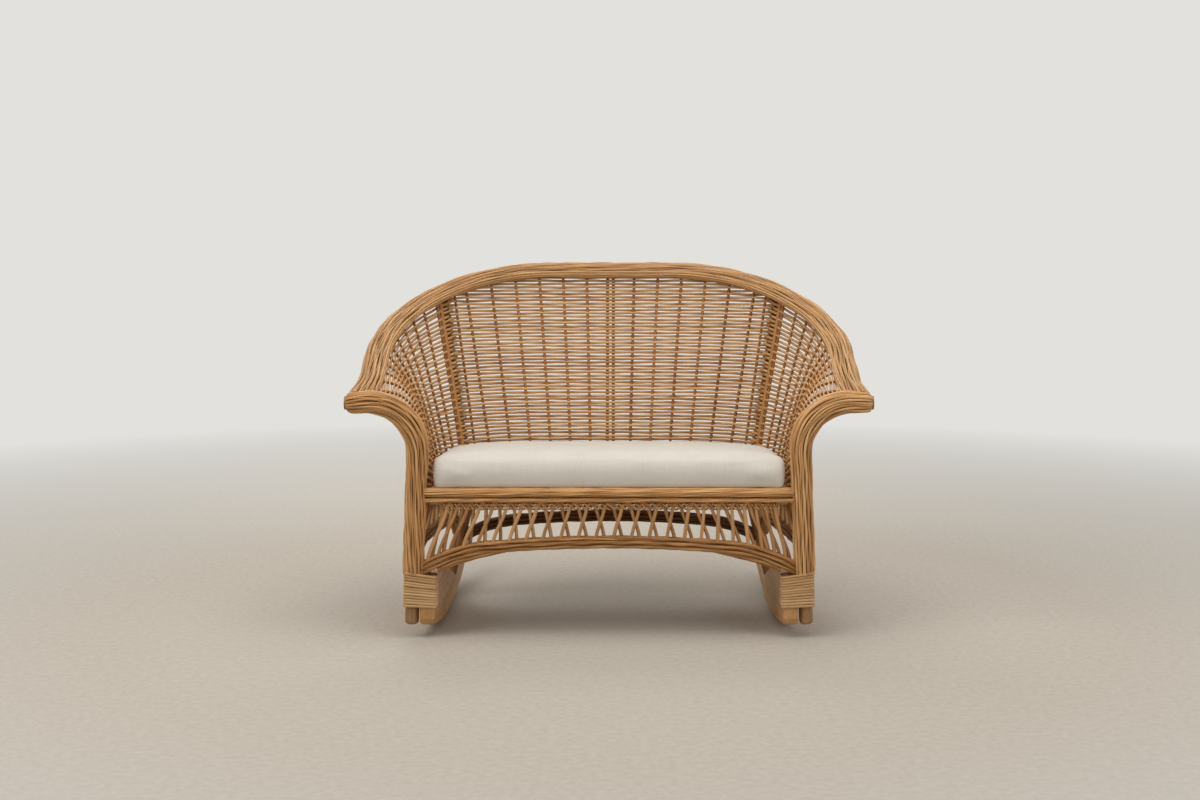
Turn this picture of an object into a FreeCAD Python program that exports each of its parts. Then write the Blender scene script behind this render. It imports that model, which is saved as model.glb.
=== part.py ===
# Wicker rocking settee: frame of poles, woven panels, runners and a loose cushion.
# Millimetres. X to the right of the picture, front faces -Y, Z up, floor at Z = 0.
# The runners touch the floor at Y = 0.

import math
import os

import FreeCAD
import Part
import Sketcher
from FreeCAD import Placement, Rotation
from FreeCAD import Vector as Vec

SIZES = [
    ("arm_span", 1300, "over both arm tips"),
    ("arm_height", 575, "axis of the arm at the front"),
    ("arm_flat", 53, "level end of the arm"),
    ("arm_bend", 125, "bend radius of post into arm"),
    ("post_splay", 1.7, "outward lean of the front posts, degrees"),
    ("post_across", 34, "front post diameter"),
    ("roll_across", 52, "wicker roll round the post"),
    ("roll_bottom", 155, "lower end of the roll"),
    ("front_reach", 284, "front posts stand this far before the rocking line"),
    ("rim_inset", 50, "rim axis inside the arm tips"),
    ("rim_arm_run", 233, "straight run of the rim along the arm"),
    ("rim_corner", 487, "depth of the rim's rear corner"),
    ("rim_back_half", 160, "half of the straight back run"),
    ("rim_tilt", 25.5, "rise of the rim towards the back, degrees"),
    ("rim_wide", 62, "rim roll in its plane"),
    ("rim_thick", 39, "rim roll across its plane"),
    ("rim_pole_across", 24, "pole inside the rim"),
    ("seat_frame_height", 353, "underside of the slats at the front"),
    ("seat_tilt", 3, "fall of the seat towards the back, degrees"),
    ("hoop_across", 28, "seat hoop diameter"),
    ("hoop_inset", 17, "seat hoop inside the post axis"),
    ("hoop_side_end", 250, "where the hoop's rear corner starts"),
    ("hoop_corner", 275, "depth of the hoop's rear corner"),
    ("hoop_back_half", 190, "half of the hoop's straight back"),
    ("weave_thick", 7.6, "woven panel between two stakes"),
    ("weave_ridge", 12.8, "woven panel where it passes over a stake"),
    ("stake_step", 67.7, "back stakes along the rim"),
    ("stake_foot_step", 53.2, "back stakes along the seat hoop"),
    ("back_post_across", 26, "back post diameter"),
    ("stake_across", 9, "centre stake diameter"),
    ("stake_apart", 16.5, "centre stakes, axis to axis"),
    ("rail_across", 34, "front seat rail diameter"),
    ("rail_height", 348, "axis of the front rail"),
    ("ledger_deep", 24, "ledger along Y"),
    ("ledger_high", 30, "ledger along Z"),
    ("slat_wide", 50, "seat slat"),
    ("slat_thick", 12, "seat slat"),
    ("leg_across", 34, "rear leg diameter"),
    ("leg_back", 451, "rear legs behind the front posts"),
    ("stretcher_across", 28, "stretcher between the rear legs"),
    ("stretcher_height", 281, "axis of the stretcher"),
    ("arch_across", 30, "arch pole diameter"),
    ("arch_height", 233, "axis of the front arch at the middle"),
    ("arch_end", 153, "axis of the arches at their ends"),
    ("strut_across", 24, "rear arch strut"),
    ("reed_across", 8, "lattice reed"),
    ("rocker_radius", 1350, "runner underside"),
    ("rocker_thick", 36, "runner board"),
    ("rocker_deep", 52, "runner height at mid length"),
    ("rocker_toe_in", 1.2, "runners close towards the back, degrees"),
    ("rocker_nose", 20, "runner before the front post"),
    ("rocker_tail", 790, "runner end behind the front post"),
    ("rocker_edge", 9, "rounded lower edges of the runner"),
    ("shoulder_swell", 20, "swell of the runner between horn and rear leg"),
    ("horn_top", 150, "top of the runner's front horn"),
    ("notch_floor", 74, "floor of the binding notch"),
    ("notch_wide", 12, "binding notch"),
    ("cane_across", 5.8, "foot binding cane"),
    ("cane_pitch", 6.4, "foot binding climb per turn"),
    ("cushion_slack", 23, "cushion inside the seat hoop's axis"),
    ("cushion_front", -10, "cushion front edge behind the post axis"),
    ("cushion_high", 74, "cushion at its edge"),
    ("cushion_crown", 12, "rise of the cushion's top"),
    ("cover_thick", 2, "cushion cover"),
    ("screw_across", 5, "frame screw"),
    ("screw_long", 52, "frame screw"),
    ("nail_across", 3, "slat nail"),
    ("nail_long", 22, "slat nail"),
]
SIZE = {name: value for name, value, _ in SIZES}
CLEAR = 0.3
TURNS_OF_CANE = 12
SLATS = 9
FRONT_REEDS = 24
SIDE_REEDS = 9
BACK_STAKES = 6
WING_STAKES = 11
RIB_SHARE = 0.18
SIDES = (("left", -1), ("right", 1))

doc = FreeCAD.newDocument("RockingSettee")
sheet = doc.addObject("Spreadsheet::Sheet", "Sizes")
for row, (name, value, note) in enumerate(SIZES, 1):
    sheet.set("A%d" % row, note)
    sheet.set("B%d" % row, str(value))
    sheet.setAlias("B%d" % row, name)
doc.recompute()

nodes = {}
s = SIZE
seat_place = Placement(Vec(0, -s["front_reach"], s["seat_frame_height"]), Rotation(Vec(1, 0, 0), -s["seat_tilt"]))
rim_place = Placement(Vec(0, -s["front_reach"], s["arm_height"]), Rotation(Vec(1, 0, 0), s["rim_tilt"]))
post_place = Placement(Vec(0, -s["front_reach"], 0), Rotation())


class Trail:
    """A flat path of lines and arcs, walked from a start point."""

    def __init__(self, u, v, heading, flip=1):
        self.u, self.v = u, v
        self.heading = math.radians(heading)
        self.flip = flip
        self.pieces = []

    def line(self, length):
        u, v = self.u, self.v
        self.u += length * math.cos(self.heading)
        self.v += length * math.sin(self.heading)
        self.pieces.append(("line", (u, v), (self.u, self.v)))
        return self

    def arc(self, radius, turn):
        """Turn in degrees, positive to the left."""
        sweep = math.radians(turn)
        way = 1 if turn > 0 else -1
        centre_u = self.u - way * radius * math.sin(self.heading)
        centre_v = self.v + way * radius * math.cos(self.heading)
        first = self.heading - way * math.pi / 2
        last = first + sweep
        self.u = centre_u + radius * math.cos(last)
        self.v = centre_v + radius * math.sin(last)
        self.heading += sweep
        self.pieces.append(("arc", (centre_u, centre_v), radius, first, last))
        return self

    def geometry(self):
        made = []
        for piece in self.pieces:
            if piece[0] == "line":
                start, end = [Vec(self.flip * p[0], p[1], 0) for p in piece[1:]]
                made.append(Part.LineSegment(start, end))
                continue
            _, centre, radius, first, last = piece
            if self.flip < 0:
                first, last = math.pi - first, math.pi - last
            low, high = min(first, last), max(first, last)
            circle = Part.Circle(Vec(self.flip * centre[0], centre[1], 0), Vec(0, 0, 1), radius)
            made.append(Part.ArcOfCircle(circle, low, high))
        return made

    def points(self, step=12.0):
        """Points along the path, close enough to measure from."""
        found = []
        for piece in self.pieces:
            if piece[0] == "line":
                start, end = piece[1:]
                count = max(1, int(math.hypot(end[0] - start[0], end[1] - start[1]) / step))
                for i in range(count + 1):
                    part = i / count
                    found.append((start[0] + part * (end[0] - start[0]), start[1] + part * (end[1] - start[1])))
                continue
            _, centre, radius, first, last = piece
            count = max(2, int(abs(last - first) * radius / step))
            for i in range(count + 1):
                angle = first + (last - first) * i / count
                found.append((centre[0] + radius * math.cos(angle), centre[1] + radius * math.sin(angle)))
        return [(self.flip * u, v) for u, v in found]


def new_body(name):
    body = doc.addObject("PartDesign::Body", name)
    body.Label = name
    nodes[name] = body
    return body


def new_sketch(body, name, plane, offset=None):
    sketch = body.newObject("Sketcher::SketchObject", name)
    planes = {feature.Role: feature for feature in body.Origin.OriginFeatures}
    sketch.AttachmentSupport = (planes[plane], [""])
    sketch.MapMode = "FlatFace"
    if offset is not None:
        sketch.AttachmentOffset = offset
    return sketch


def bind(sketch, constraint, expression):
    index = sketch.addConstraint(constraint)
    sketch.setExpression("Constraints[%d]" % index, expression)


def add_circle(sketch, across, expression):
    index = sketch.addGeometry(Part.Circle(Vec(0, 0, 0), Vec(0, 0, 1), across / 2))
    sketch.addConstraint(Sketcher.Constraint("Coincident", index, 3, -1, 1))
    bind(sketch, Sketcher.Constraint("Diameter", index, across), expression)


def sweep(name, plane, trail, circles, start_place, start_plane, place, bound_arcs=()):
    """A body: circles swept along a flat path. A second circle makes it hollow."""
    body = new_body(name)
    path = new_sketch(body, name + "_path", plane)
    path.addGeometry(trail.geometry())
    for index, radius, expression in bound_arcs:
        bind(path, Sketcher.Constraint("Radius", index, radius), expression)
    section = new_sketch(body, name + "_section", start_plane, start_place)
    for across, expression in circles:
        add_circle(section, across, expression)
    doc.recompute()
    pipe = body.newObject("PartDesign::AdditivePipe", name + "_pipe")
    pipe.Profile = section
    pipe.Spine = (path, [""])
    body.Placement = place
    doc.recompute()
    return body


def toward(direction):
    return Rotation(Vec(0, 0, 1), direction)


def rod(name, start, end, alias):
    """A straight round pole from start to end."""
    pole = doc.addObject("Part::Cylinder", name)
    pole.Label = name
    pole.setExpression("Radius", "Sizes.%s / 2" % alias)
    pole.Height = (end - start).Length
    pole.Placement = Placement(start, toward(end - start))
    nodes[name] = pole
    return pole


def feature(name, shape):
    made = doc.addObject("Part::Feature", name)
    made.Label = name
    made.Shape = shape
    nodes[name] = made
    return made


def cylinder(start, end, across):
    way = end - start
    return Part.makeCylinder(across / 2, way.Length, start, way)


def lift(place, points):
    """Flat path points to the shared frame."""
    return [place.multVec(Vec(u, v, 0)) for u, v in points]


def line_gap(point, chain, radius):
    """Clear distance from a point to a pole whose axis is a chain of points."""
    best = 1e9
    for first, last in zip(chain, chain[1:]):
        way = last - first
        length = way.Length
        if length < 1e-9:
            continue
        share = min(1.0, max(0.0, (point - first).dot(way) / (length * length)))
        best = min(best, (point - (first + way * share)).Length)
    return best - radius


def end_ring(point, way, radius):
    turn = toward(way)
    ring = [point]
    count = 6 if radius < 6 else 20
    for i in range(count):
        angle = i * 2 * math.pi / count
        ring.append(point + turn.multVec(Vec(radius * math.cos(angle), radius * math.sin(angle), 0)))
    return ring


def stop_before(start, target, radius, gap, clear=CLEAR):
    """The point nearest target where a pole of this radius still clears the gap test."""
    way = target - start
    low, high = 0.0, 1.0
    for _ in range(20):
        middle = (low + high) / 2
        point = start + way * middle
        if min(gap(p) for p in end_ring(point, way, radius)) >= clear:
            low = middle
        else:
            high = middle
    return start + way * low


def corner_radii(across, deep):
    """Two arcs of 45 degrees that turn a corner of this size."""
    slow, fast = 1 - math.sqrt(0.5), math.sqrt(0.5)
    spread = fast - slow
    return (fast * deep - slow * across) / spread, (fast * across - slow * deep) / spread


def horseshoe(half, start, side_end, corner, back_half):
    """Open hoop: up the left side, round the back, down the right side."""
    first, second = corner_radii(half - back_half, corner)
    trail = Trail(-half, start, 90)
    trail.line(side_end - start).arc(first, -45).arc(second, -45).line(2 * back_half)
    trail.arc(second, -45).arc(first, -45).line(side_end - start)
    return trail


def hoop_point(share, half, start, side_end, corner, back_half):
    """Left half of a horseshoe: 0 at the front, 1 at the 45 degree point, 2 at the middle."""
    first, second = corner_radii(half - back_half, corner)
    turn = math.pi / 4
    if share <= 0.5:
        return -half, start + (side_end - start) * share / 0.5
    if share <= 1:
        angle = turn * (share - 0.5) / 0.5
        return -half + first * (1 - math.cos(angle)), side_end + first * math.sin(angle)
    knee_u = -half + first * (1 - math.cos(turn))
    knee_v = side_end + first * math.sin(turn)
    if share <= 1.6:
        angle = turn + turn * (share - 1) / 0.6
        knee_u += second * (math.cos(turn) - math.cos(angle))
        knee_v += second * (math.sin(angle) - math.sin(turn))
        return knee_u, knee_v
    return -back_half * (2 - share) / 0.4, side_end + corner


def arch_trail(half, middle, end):
    """A flat arch with tighter ends: left end to right end."""
    main_half = 0.62 * half
    main_radius = 7.2 * half
    lean = math.asin(main_half / main_radius)
    shoulder = middle - main_radius * (1 - math.cos(lean))
    across, drop = half - main_half, shoulder - end
    steep = 2 * math.atan2(drop, across) - lean
    radius = across / (math.sin(steep) - math.sin(lean))
    trail = Trail(-half, end, math.degrees(steep))
    trail.arc(radius, -math.degrees(steep - lean)).arc(main_radius, -math.degrees(2 * lean))
    trail.arc(radius, -math.degrees(steep - lean))
    return trail, steep


# Sizes that follow from others

tip = s["arm_span"] / 2
front_y = -s["front_reach"]
foot_floor = s["rocker_radius"] - math.sqrt(s["rocker_radius"] ** 2 - s["front_reach"] ** 2)


def post_trail(side, tip_inset, bottom):
    trail = Trail(tip - tip_inset, s["arm_height"], 180, side)
    trail.line(s["arm_flat"] - tip_inset).arc(s["arm_bend"], 90 + s["post_splay"])
    trail.line((trail.v - bottom) / math.cos(math.radians(s["post_splay"])))
    return trail


def post_x(height):
    """Distance of the post axis from the middle, on its straight part."""
    trail = post_trail(1, 0, height)
    return trail.u


post_line = post_x(s["arm_height"] - s["arm_bend"] * 1.1)
rim_half = tip - s["rim_inset"]
hoop_half = post_line - s["hoop_inset"]
toe_in = math.radians(s["rocker_toe_in"])
rocker_room = s["rocker_thick"] / 2 + s["rocker_nose"] * math.sin(toe_in) + 1
rocker_half_gap = post_x(s["horn_top"]) - s["post_across"] / 2 - rocker_room
cushion_half = hoop_half - s["cushion_slack"]
cushion_side_end = s["hoop_side_end"] - 5
cushion_corner = s["hoop_corner"] - s["cushion_slack"] + 3
cushion_back_half = s["hoop_back_half"] - 5
slat_pitch = (2 * hoop_half - 118) / SLATS

# Front posts and their wicker rolls


def round_end(body, radius_alias, lowest):
    """Round the outer edge of one end: the lowest, or the one farthest out."""
    circles = [(i, e) for i, e in enumerate(body.Shape.Edges, 1) if isinstance(e.Curve, Part.Circle)]
    ends = [(i, e) for i, e in circles if abs(e.Length - 2 * math.pi * e.Curve.Radius) < 1e-6]
    measure = (lambda e: -e.Curve.Center.z) if lowest else (lambda e: abs(e.Curve.Center.x))
    pick = max(ends, key=lambda pair: (round(measure(pair[1]), 3), pair[1].Curve.Radius))
    base = body.Tip
    fillet = body.newObject("PartDesign::Fillet", body.Name + "_round")
    fillet.Base = (base, ["Edge%d" % pick[0]])
    fillet.setExpression("Radius", radius_alias)
    doc.recompute()


for word, side in SIDES:
    bent = [(1, s["arm_bend"], "Sizes.arm_bend")]
    trail = post_trail(side, 0.6, foot_floor + 2)
    start = Placement(Vec(0, s["arm_height"], side * (tip - 0.6)), Rotation())
    across = [(s["post_across"], "Sizes.post_across")]
    post = sweep(word + "_front_post", "XZ_Plane", trail, across, start, "YZ_Plane", post_place, bent)
    round_end(post, "Sizes.post_across * 0.27", True)
    trail = post_trail(side, 0, s["roll_bottom"])
    start = Placement(Vec(0, s["arm_height"], side * tip), Rotation())
    across = [
        (s["roll_across"], "Sizes.roll_across"),
        (s["post_across"] + 2 * CLEAR, "Sizes.post_across + %s" % (2 * CLEAR)),
    ]
    roll = sweep(word + "_arm_roll", "XZ_Plane", trail, across, start, "YZ_Plane", post_place, bent)
    round_end(roll, "(Sizes.roll_across - Sizes.post_across) * 0.38", False)

# Rim pole and rim roll

rim_depth = s["rim_arm_run"] + s["rim_corner"]
rim_shape = (rim_half, 0, s["rim_arm_run"], s["rim_corner"], s["rim_back_half"])
rim_trail = horseshoe(*rim_shape)
rim_start = Placement(Vec(-rim_half, 0, 0), Rotation())


def cope_rim(body):
    """Cut both front ends to sit round the arm rolls."""
    cut = new_sketch(body, body.Name + "_cope", "YZ_Plane")
    index = cut.addGeometry(Part.Circle(Vec(0, 0, 0), Vec(0, 0, 1), s["roll_across"] / 2 + 1))
    cut.addConstraint(Sketcher.Constraint("Coincident", index, 3, -1, 1))
    bind(cut, Sketcher.Constraint("Diameter", index, s["roll_across"] + 2), "Sizes.roll_across + 2")
    doc.recompute()
    pocket = body.newObject("PartDesign::Pocket", body.Name + "_coped")
    pocket.Profile = cut
    pocket.setExpression("Length", "Sizes.arm_span * 1.2")
    pocket.Midplane = True
    doc.recompute()


pole_ring = [(s["rim_pole_across"], "Sizes.rim_pole_across")]
pole = sweep("rim_pole", "XY_Plane", rim_trail, pole_ring, rim_start, "XZ_Plane", rim_place)
cope_rim(pole)

rim = new_body("rim_roll")
path = new_sketch(rim, "rim_roll_path", "XY_Plane")
path.addGeometry(rim_trail.geometry())
section = new_sketch(rim, "rim_roll_section", "XZ_Plane", rim_start)
oval = section.addGeometry(Part.Ellipse(Vec(0, 0, 0), s["rim_wide"] / 2, s["rim_thick"] / 2))
add_circle(section, s["rim_pole_across"] + 2 * CLEAR, "Sizes.rim_pole_across + %s" % (2 * CLEAR))
doc.recompute()
pipe = rim.newObject("PartDesign::AdditivePipe", "rim_roll_pipe")
pipe.Profile = section
pipe.Spine = (path, [""])
rim.Placement = rim_place
doc.recompute()
cope_rim(rim)


def rim_frame(share):
    """Rim axis point, outward direction in the rim plane, and the plane's normal."""
    u, v = hoop_point(share, *rim_shape)
    u2, v2 = hoop_point(share + 0.002, *rim_shape)
    u1, v1 = hoop_point(share - 0.002, *rim_shape)
    length = math.hypot(u2 - u1, v2 - v1)
    outward = Vec(-(v2 - v1) / length, (u2 - u1) / length, 0)
    turn = rim_place.Rotation
    return rim_place.multVec(Vec(u, v, 0)), turn.multVec(outward), turn.multVec(Vec(0, 0, 1))


def rim_gap(share):
    """Rough clear distance to the rim roll near one place on it."""
    centre, outward, normal = rim_frame(share)

    def gap(point):
        away = point - centre
        wide, high = away.dot(outward), away.dot(normal)
        reach = math.hypot(wide, high)
        if reach < 1e-6:
            return -s["rim_thick"] / 2
        edge = 1 / math.hypot(wide / reach / (s["rim_wide"] / 2), high / reach / (s["rim_thick"] / 2))
        return reach - edge

    return gap


# Seat hoop, front rail, ledger and slats

behind_roll = s["roll_across"] / 2 + CLEAR
hoop_shape = (hoop_half, behind_roll + 0.4, s["hoop_side_end"], s["hoop_corner"], s["hoop_back_half"])
hoop_trail = horseshoe(*hoop_shape)
hoop_drop = Placement(Vec(0, 0, -s["hoop_across"] / 2), Rotation())
hoop_place = seat_place.multiply(hoop_drop)
hoop_start = Placement(Vec(-hoop_half, 0, -hoop_shape[1]), Rotation())
hoop_ring = [(s["hoop_across"], "Sizes.hoop_across")]
sweep("seat_hoop", "XY_Plane", hoop_trail, hoop_ring, hoop_start, "XZ_Plane", hoop_place)
hoop_chain = lift(hoop_place, hoop_trail.points())

rail_end = post_x(s["rail_height"]) - s["roll_across"] / 2 - CLEAR - 0.2
rod(
    "front_seat_rail",
    Vec(-rail_end, front_y, s["rail_height"]),
    Vec(rail_end, front_y, s["rail_height"]),
    "rail_across",
)

ledger = doc.addObject("Part::Box", "front_ledger")
ledger.Label = "front_ledger"
ledger_half = hoop_half - s["hoop_across"] / 2 - CLEAR
ledger.Length = 2 * ledger_half
ledger.setExpression("Width", "Sizes.ledger_deep")
ledger.setExpression("Height", "Sizes.ledger_high")
ledger_y = s["rail_across"] / 2 + CLEAR + 1.2
ledger.Placement = seat_place.multiply(Placement(Vec(-ledger_half, ledger_y, -s["ledger_high"]), Rotation()))
nodes["front_ledger"] = ledger


def hoop_depth(across):
    """How far back the seat hoop runs at this distance from the middle."""
    low, high = 0.5, 2.0
    for _ in range(40):
        middle = (low + high) / 2
        if -hoop_point(middle, *hoop_shape)[0] > across:
            low = middle
        else:
            high = middle
    return hoop_point(low, *hoop_shape)[1]


nails = []
slat_front = s["rail_across"] / 2 + CLEAR + 1.2
for number in range(1, SLATS + 1):
    name = "seat_slat_%d" % number
    middle = (number - (SLATS + 1) / 2) * slat_pitch
    outer = abs(middle) + s["slat_wide"] / 2
    slat_end = hoop_depth(outer) - s["weave_ridge"] / 2 - 3
    slat = doc.addObject("Part::Box", name)
    slat.Label = name
    slat.setExpression("Length", "Sizes.slat_wide")
    slat.Width = slat_end - slat_front
    slat.setExpression("Height", "Sizes.slat_thick")
    slat.Placement = seat_place.multiply(Placement(Vec(middle - s["slat_wide"] / 2, slat_front, 0), Rotation()))
    nodes[name] = slat
    for place in (ledger_y + s["ledger_deep"] / 2, slat_end - 3):
        top = seat_place.multVec(Vec(middle, place, s["slat_thick"] - 0.2))
        low = seat_place.multVec(Vec(middle, place, s["slat_thick"] - 0.2 - s["nail_long"]))
        nails.append(cylinder(top, low, s["nail_across"]))
feature("slat_nails", Part.makeCompound(nails))

# Woven wings and back


def blend(first, second, share):
    return first * (1 - share) + second * share


def weave_profile(share, rim_share=None):
    """Control points of one upright line of the weave, hoop to rim."""
    low = seat_place.multVec(Vec(*hoop_point(share, *hoop_shape), CLEAR + 0.9))
    if rim_share is None:
        rim_share = share
    centre, outward, normal = rim_frame(max(rim_share, 0.055))
    level = Vec(centre.x - low.x, centre.y - low.y, 0)
    reach = level.Length
    level.normalize()
    bowl = 1 - min(1.0, share)
    bowl = bowl * bowl * (3 - 2 * bowl)
    straight = (centre - low).normalize()
    arrive = blend(straight, level, bowl).normalize()
    wide, high = arrive.dot(outward), arrive.dot(normal)
    edge = 1 / math.hypot(wide / (s["rim_wide"] / 2), high / (s["rim_thick"] / 2))
    top = centre - arrive * (edge + 4.5)
    rise = top.z - low.z
    plain = top - low
    first = blend(low + plain * 0.333, low + Vec(0, 0, 0.74 * rise), bowl)
    second = blend(low + plain * 0.667, top - level * (0.70 * reach * (1 - edge / reach)), bowl)
    return low, first, second, top, level


def weave_point(control, part):
    low, first, second, top, _ = control
    rest = 1 - part
    return low * rest**3 + first * (3 * rest * rest * part) + second * (3 * rest * part * part) + top * part**3


def weave_section(share, rim_share, thick):
    """Closed flat outline of the panel at one upright line."""
    control = weave_profile(share, rim_share)
    level = control[4]
    inner, outer = [], []
    count = 8
    for i in range(count + 1):
        part = i / count
        here = weave_point(control, part)
        way = weave_point(control, min(1, part + 0.01)) - weave_point(control, max(0, part - 0.01))
        along, up = way.dot(level), way.z
        length = math.hypot(along, up)
        away = level * (up / length) - Vec(0, 0, along / length)
        inner.append(here - away * (thick / 2))
        outer.append(here + away * (thick / 2))
    edges = []
    for row in (inner, list(reversed(outer))):
        curve = Part.BSplineCurve()
        curve.interpolate(Points=row, Parameters=[i / count for i in range(count + 1)])
        edges.append(curve.toShape())
    top = Part.LineSegment(inner[-1], outer[-1]).toShape()
    bottom = Part.LineSegment(outer[0], inner[0]).toShape()
    return Part.Wire([edges[0], top, edges[1], bottom])


def back_share(across, shape):
    """Share of a horseshoe's rear half at a distance from the middle."""
    half, _, _, corner, back_half = shape
    if across <= back_half:
        return 2 - 0.4 * across / back_half
    first, second = corner_radii(half - back_half, corner)
    turn = math.pi / 4
    knee = half - first * (1 - math.cos(turn))
    angle = math.acos(math.cos(turn) - (knee - across) / second)
    return 1 + 0.6 * (angle - turn) / turn


def side_share(part, shape):
    """Share of a horseshoe at a part of the way along its side."""
    half, start, side_end, corner, back_half = shape
    straight = side_end - start
    bend = corner_radii(half - back_half, corner)[0] * math.pi / 4
    gone = part * (straight + bend)
    if gone <= straight:
        return 0.5 * gone / straight
    return 0.5 + 0.5 * (gone - straight) / bend


def between(marks):
    """The marks with a point on each side of every stake, as pairs of a mark and whether it is a stake."""
    found = [(marks[0], False)]
    for here, there in zip(marks, marks[1:]):
        for part in (RIB_SHARE, 1 - RIB_SHARE):
            found.append((tuple(a + (b - a) * part for a, b in zip(here, there)), False))
        found.append((there, True))
    found[-1] = (marks[-1], False)
    return found


def weave_panel(name, marks, side):
    """Woven panel that swells over each stake; marks are shares at the hoop and at the rim."""
    sections = []
    for (share, rim_share), is_stake in between(marks):
        thick = s["weave_ridge"] if is_stake else s["weave_thick"]
        sections.append(weave_section(share, rim_share, thick))
    panel = Part.makeLoft(sections, True, True)
    if side > 0:
        panel = panel.mirror(Vec(0, 0, 0), Vec(1, 0, 0))
    feature(name, panel)


SEAM = 0.0007
wing_marks = [(0.012, 0.012)]
for number in range(1, WING_STAKES + 1):
    share = side_share(number / (WING_STAKES + 1), rim_shape)
    wing_marks.append((share, share))
wing_marks.append((1 - SEAM, 1 - SEAM))
back_marks = [(2 - SEAM * 1.5, 2 - SEAM * 1.5)]
for number in range(1, BACK_STAKES + 1):
    foot = back_share(number * s["stake_foot_step"], hoop_shape)
    back_marks.append((foot, back_share(number * s["stake_step"], rim_shape)))
back_marks.append((1 + SEAM, 1 + SEAM))
for word, side in SIDES:
    weave_panel(word + "_wing_weave", wing_marks, side)
    weave_panel("back_weave_" + word, back_marks, side)

# Back posts and centre stakes, just outside the weave


def outside_line(share, away):
    """Straight line beside the weave: foot and head, moved outward."""
    low, _, _, top, level = weave_profile(share)
    way = (top - low).normalize()
    outward = level * way.z - Vec(0, 0, way.dot(level))
    return low + outward * away, top + outward * away, way


def mirrored(point, side):
    return Vec(point.x if side < 0 else -point.x, point.y, point.z)


post_away = s["hoop_across"] * 0.63 + s["back_post_across"] / 2 + CLEAR + 0.3
low, high, way = outside_line(1.0, post_away)
post_foot = low - way * (s["hoop_across"] * 0.72)
post_head = stop_before(low, high + way * 40, s["back_post_across"] / 2, rim_gap(1.0))
for word, side in SIDES:
    rod(word + "_back_post", mirrored(post_foot, side), mirrored(post_head, side), "back_post_across")

stakes = []
for side in (-1, 1):
    stake_away = s["weave_thick"] / 2 + s["stake_across"] / 2 + CLEAR + 0.6
    low, high, way = outside_line(2.0, stake_away)
    shift = Vec(side * s["stake_apart"] / 2, 0, 0)
    head = stop_before(low, high + way * 40, s["stake_across"] / 2, rim_gap(2.0))
    foot = stop_before(high, low - way * 20, s["stake_across"] / 2, lambda p: line_gap(p, hoop_chain, s["hoop_across"] / 2))
    stakes.append(cylinder(foot + shift, head + shift, s["stake_across"]))
feature("centre_back_stakes", Part.makeCompound(stakes))

# Runners

centre_v = s["rocker_radius"]


def runner_low(back):
    return s["rocker_radius"] - math.sqrt(s["rocker_radius"] ** 2 - (back - s["front_reach"]) ** 2)


def runner_place(side):
    turn = Rotation(Vec(0, 0, 1), side * s["rocker_toe_in"])
    return Placement(Vec(side * rocker_half_gap, front_y, 0), turn)


def circle_arc(centre, radius, first, last):
    """Arc between two points given by their angles about the centre."""
    circle = Part.Circle(Vec(centre[0], centre[1], 0), Vec(0, 0, 1), radius)
    return Part.ArcOfCircle(circle, first, last)


def runner_outline(sketch):
    """Side view of the runner: distance behind the front post, and height."""
    big, deep = s["rocker_radius"], s["rocker_deep"]
    touch = (s["front_reach"], big)
    nose_round = 15.0
    nose = -s["rocker_nose"]
    first = math.atan2(runner_low(nose + nose_round) - big, nose + nose_round - touch[0])
    tail_reach = s["rocker_tail"] - s["front_reach"] - deep / 2
    last = math.atan2(-math.sqrt(big**2 - tail_reach**2), tail_reach)
    under = circle_arc(touch, big, first, last)
    top_radius = big - deep
    leg_front = s["leg_back"] - s["leg_across"] / 2 - 3 - touch[0]
    over = circle_arc(touch, top_radius, math.atan2(-math.sqrt(top_radius**2 - leg_front**2), leg_front), last)
    middle = big - deep / 2
    tail_centre = (touch[0] + middle * math.cos(last), touch[1] + middle * math.sin(last))
    tail = circle_arc(tail_centre, deep / 2, last, last + math.pi)
    notch = s["rocker_nose"]
    notch_end = notch + s["notch_wide"]
    high, low = Vec(notch_end, s["horn_top"] - 4, 0), over.StartPoint
    half, swell = (low - high).Length / 2, s["shoulder_swell"]
    sweep_radius = (half * half + swell * swell) / (2 * swell)
    down = Vec((low - high).y, (high - low).x, 0).normalize()
    centre = (high + low) * 0.5 + down * (sweep_radius - swell)
    ends = [math.atan2(end.y - centre.y, end.x - centre.x) for end in (low, high)]
    shoulder = circle_arc((centre.x, centre.y), sweep_radius, *ends)
    nose_low = under.StartPoint
    rise = Vec(nose, nose_low.y + nose_round * 1.12, 0)
    front = [
        high,
        Vec(notch_end, s["notch_floor"], 0),
        Vec(notch, s["notch_floor"], 0),
        Vec(notch, s["horn_top"], 0),
        Vec(nose, s["horn_top"], 0),
        rise,
        Vec(nose + nose_round * 0.3, nose_low.y + nose_round * 0.36, 0),
        nose_low,
    ]
    arc_index = sketch.addGeometry(under)
    sketch.addGeometry(over)
    sketch.addGeometry(tail)
    sketch.addGeometry(shoulder)
    for here, there in zip(front, front[1:]):
        sketch.addGeometry(Part.LineSegment(here, there))
    bind(sketch, Sketcher.Constraint("Radius", arc_index, big), "Sizes.rocker_radius")


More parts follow.
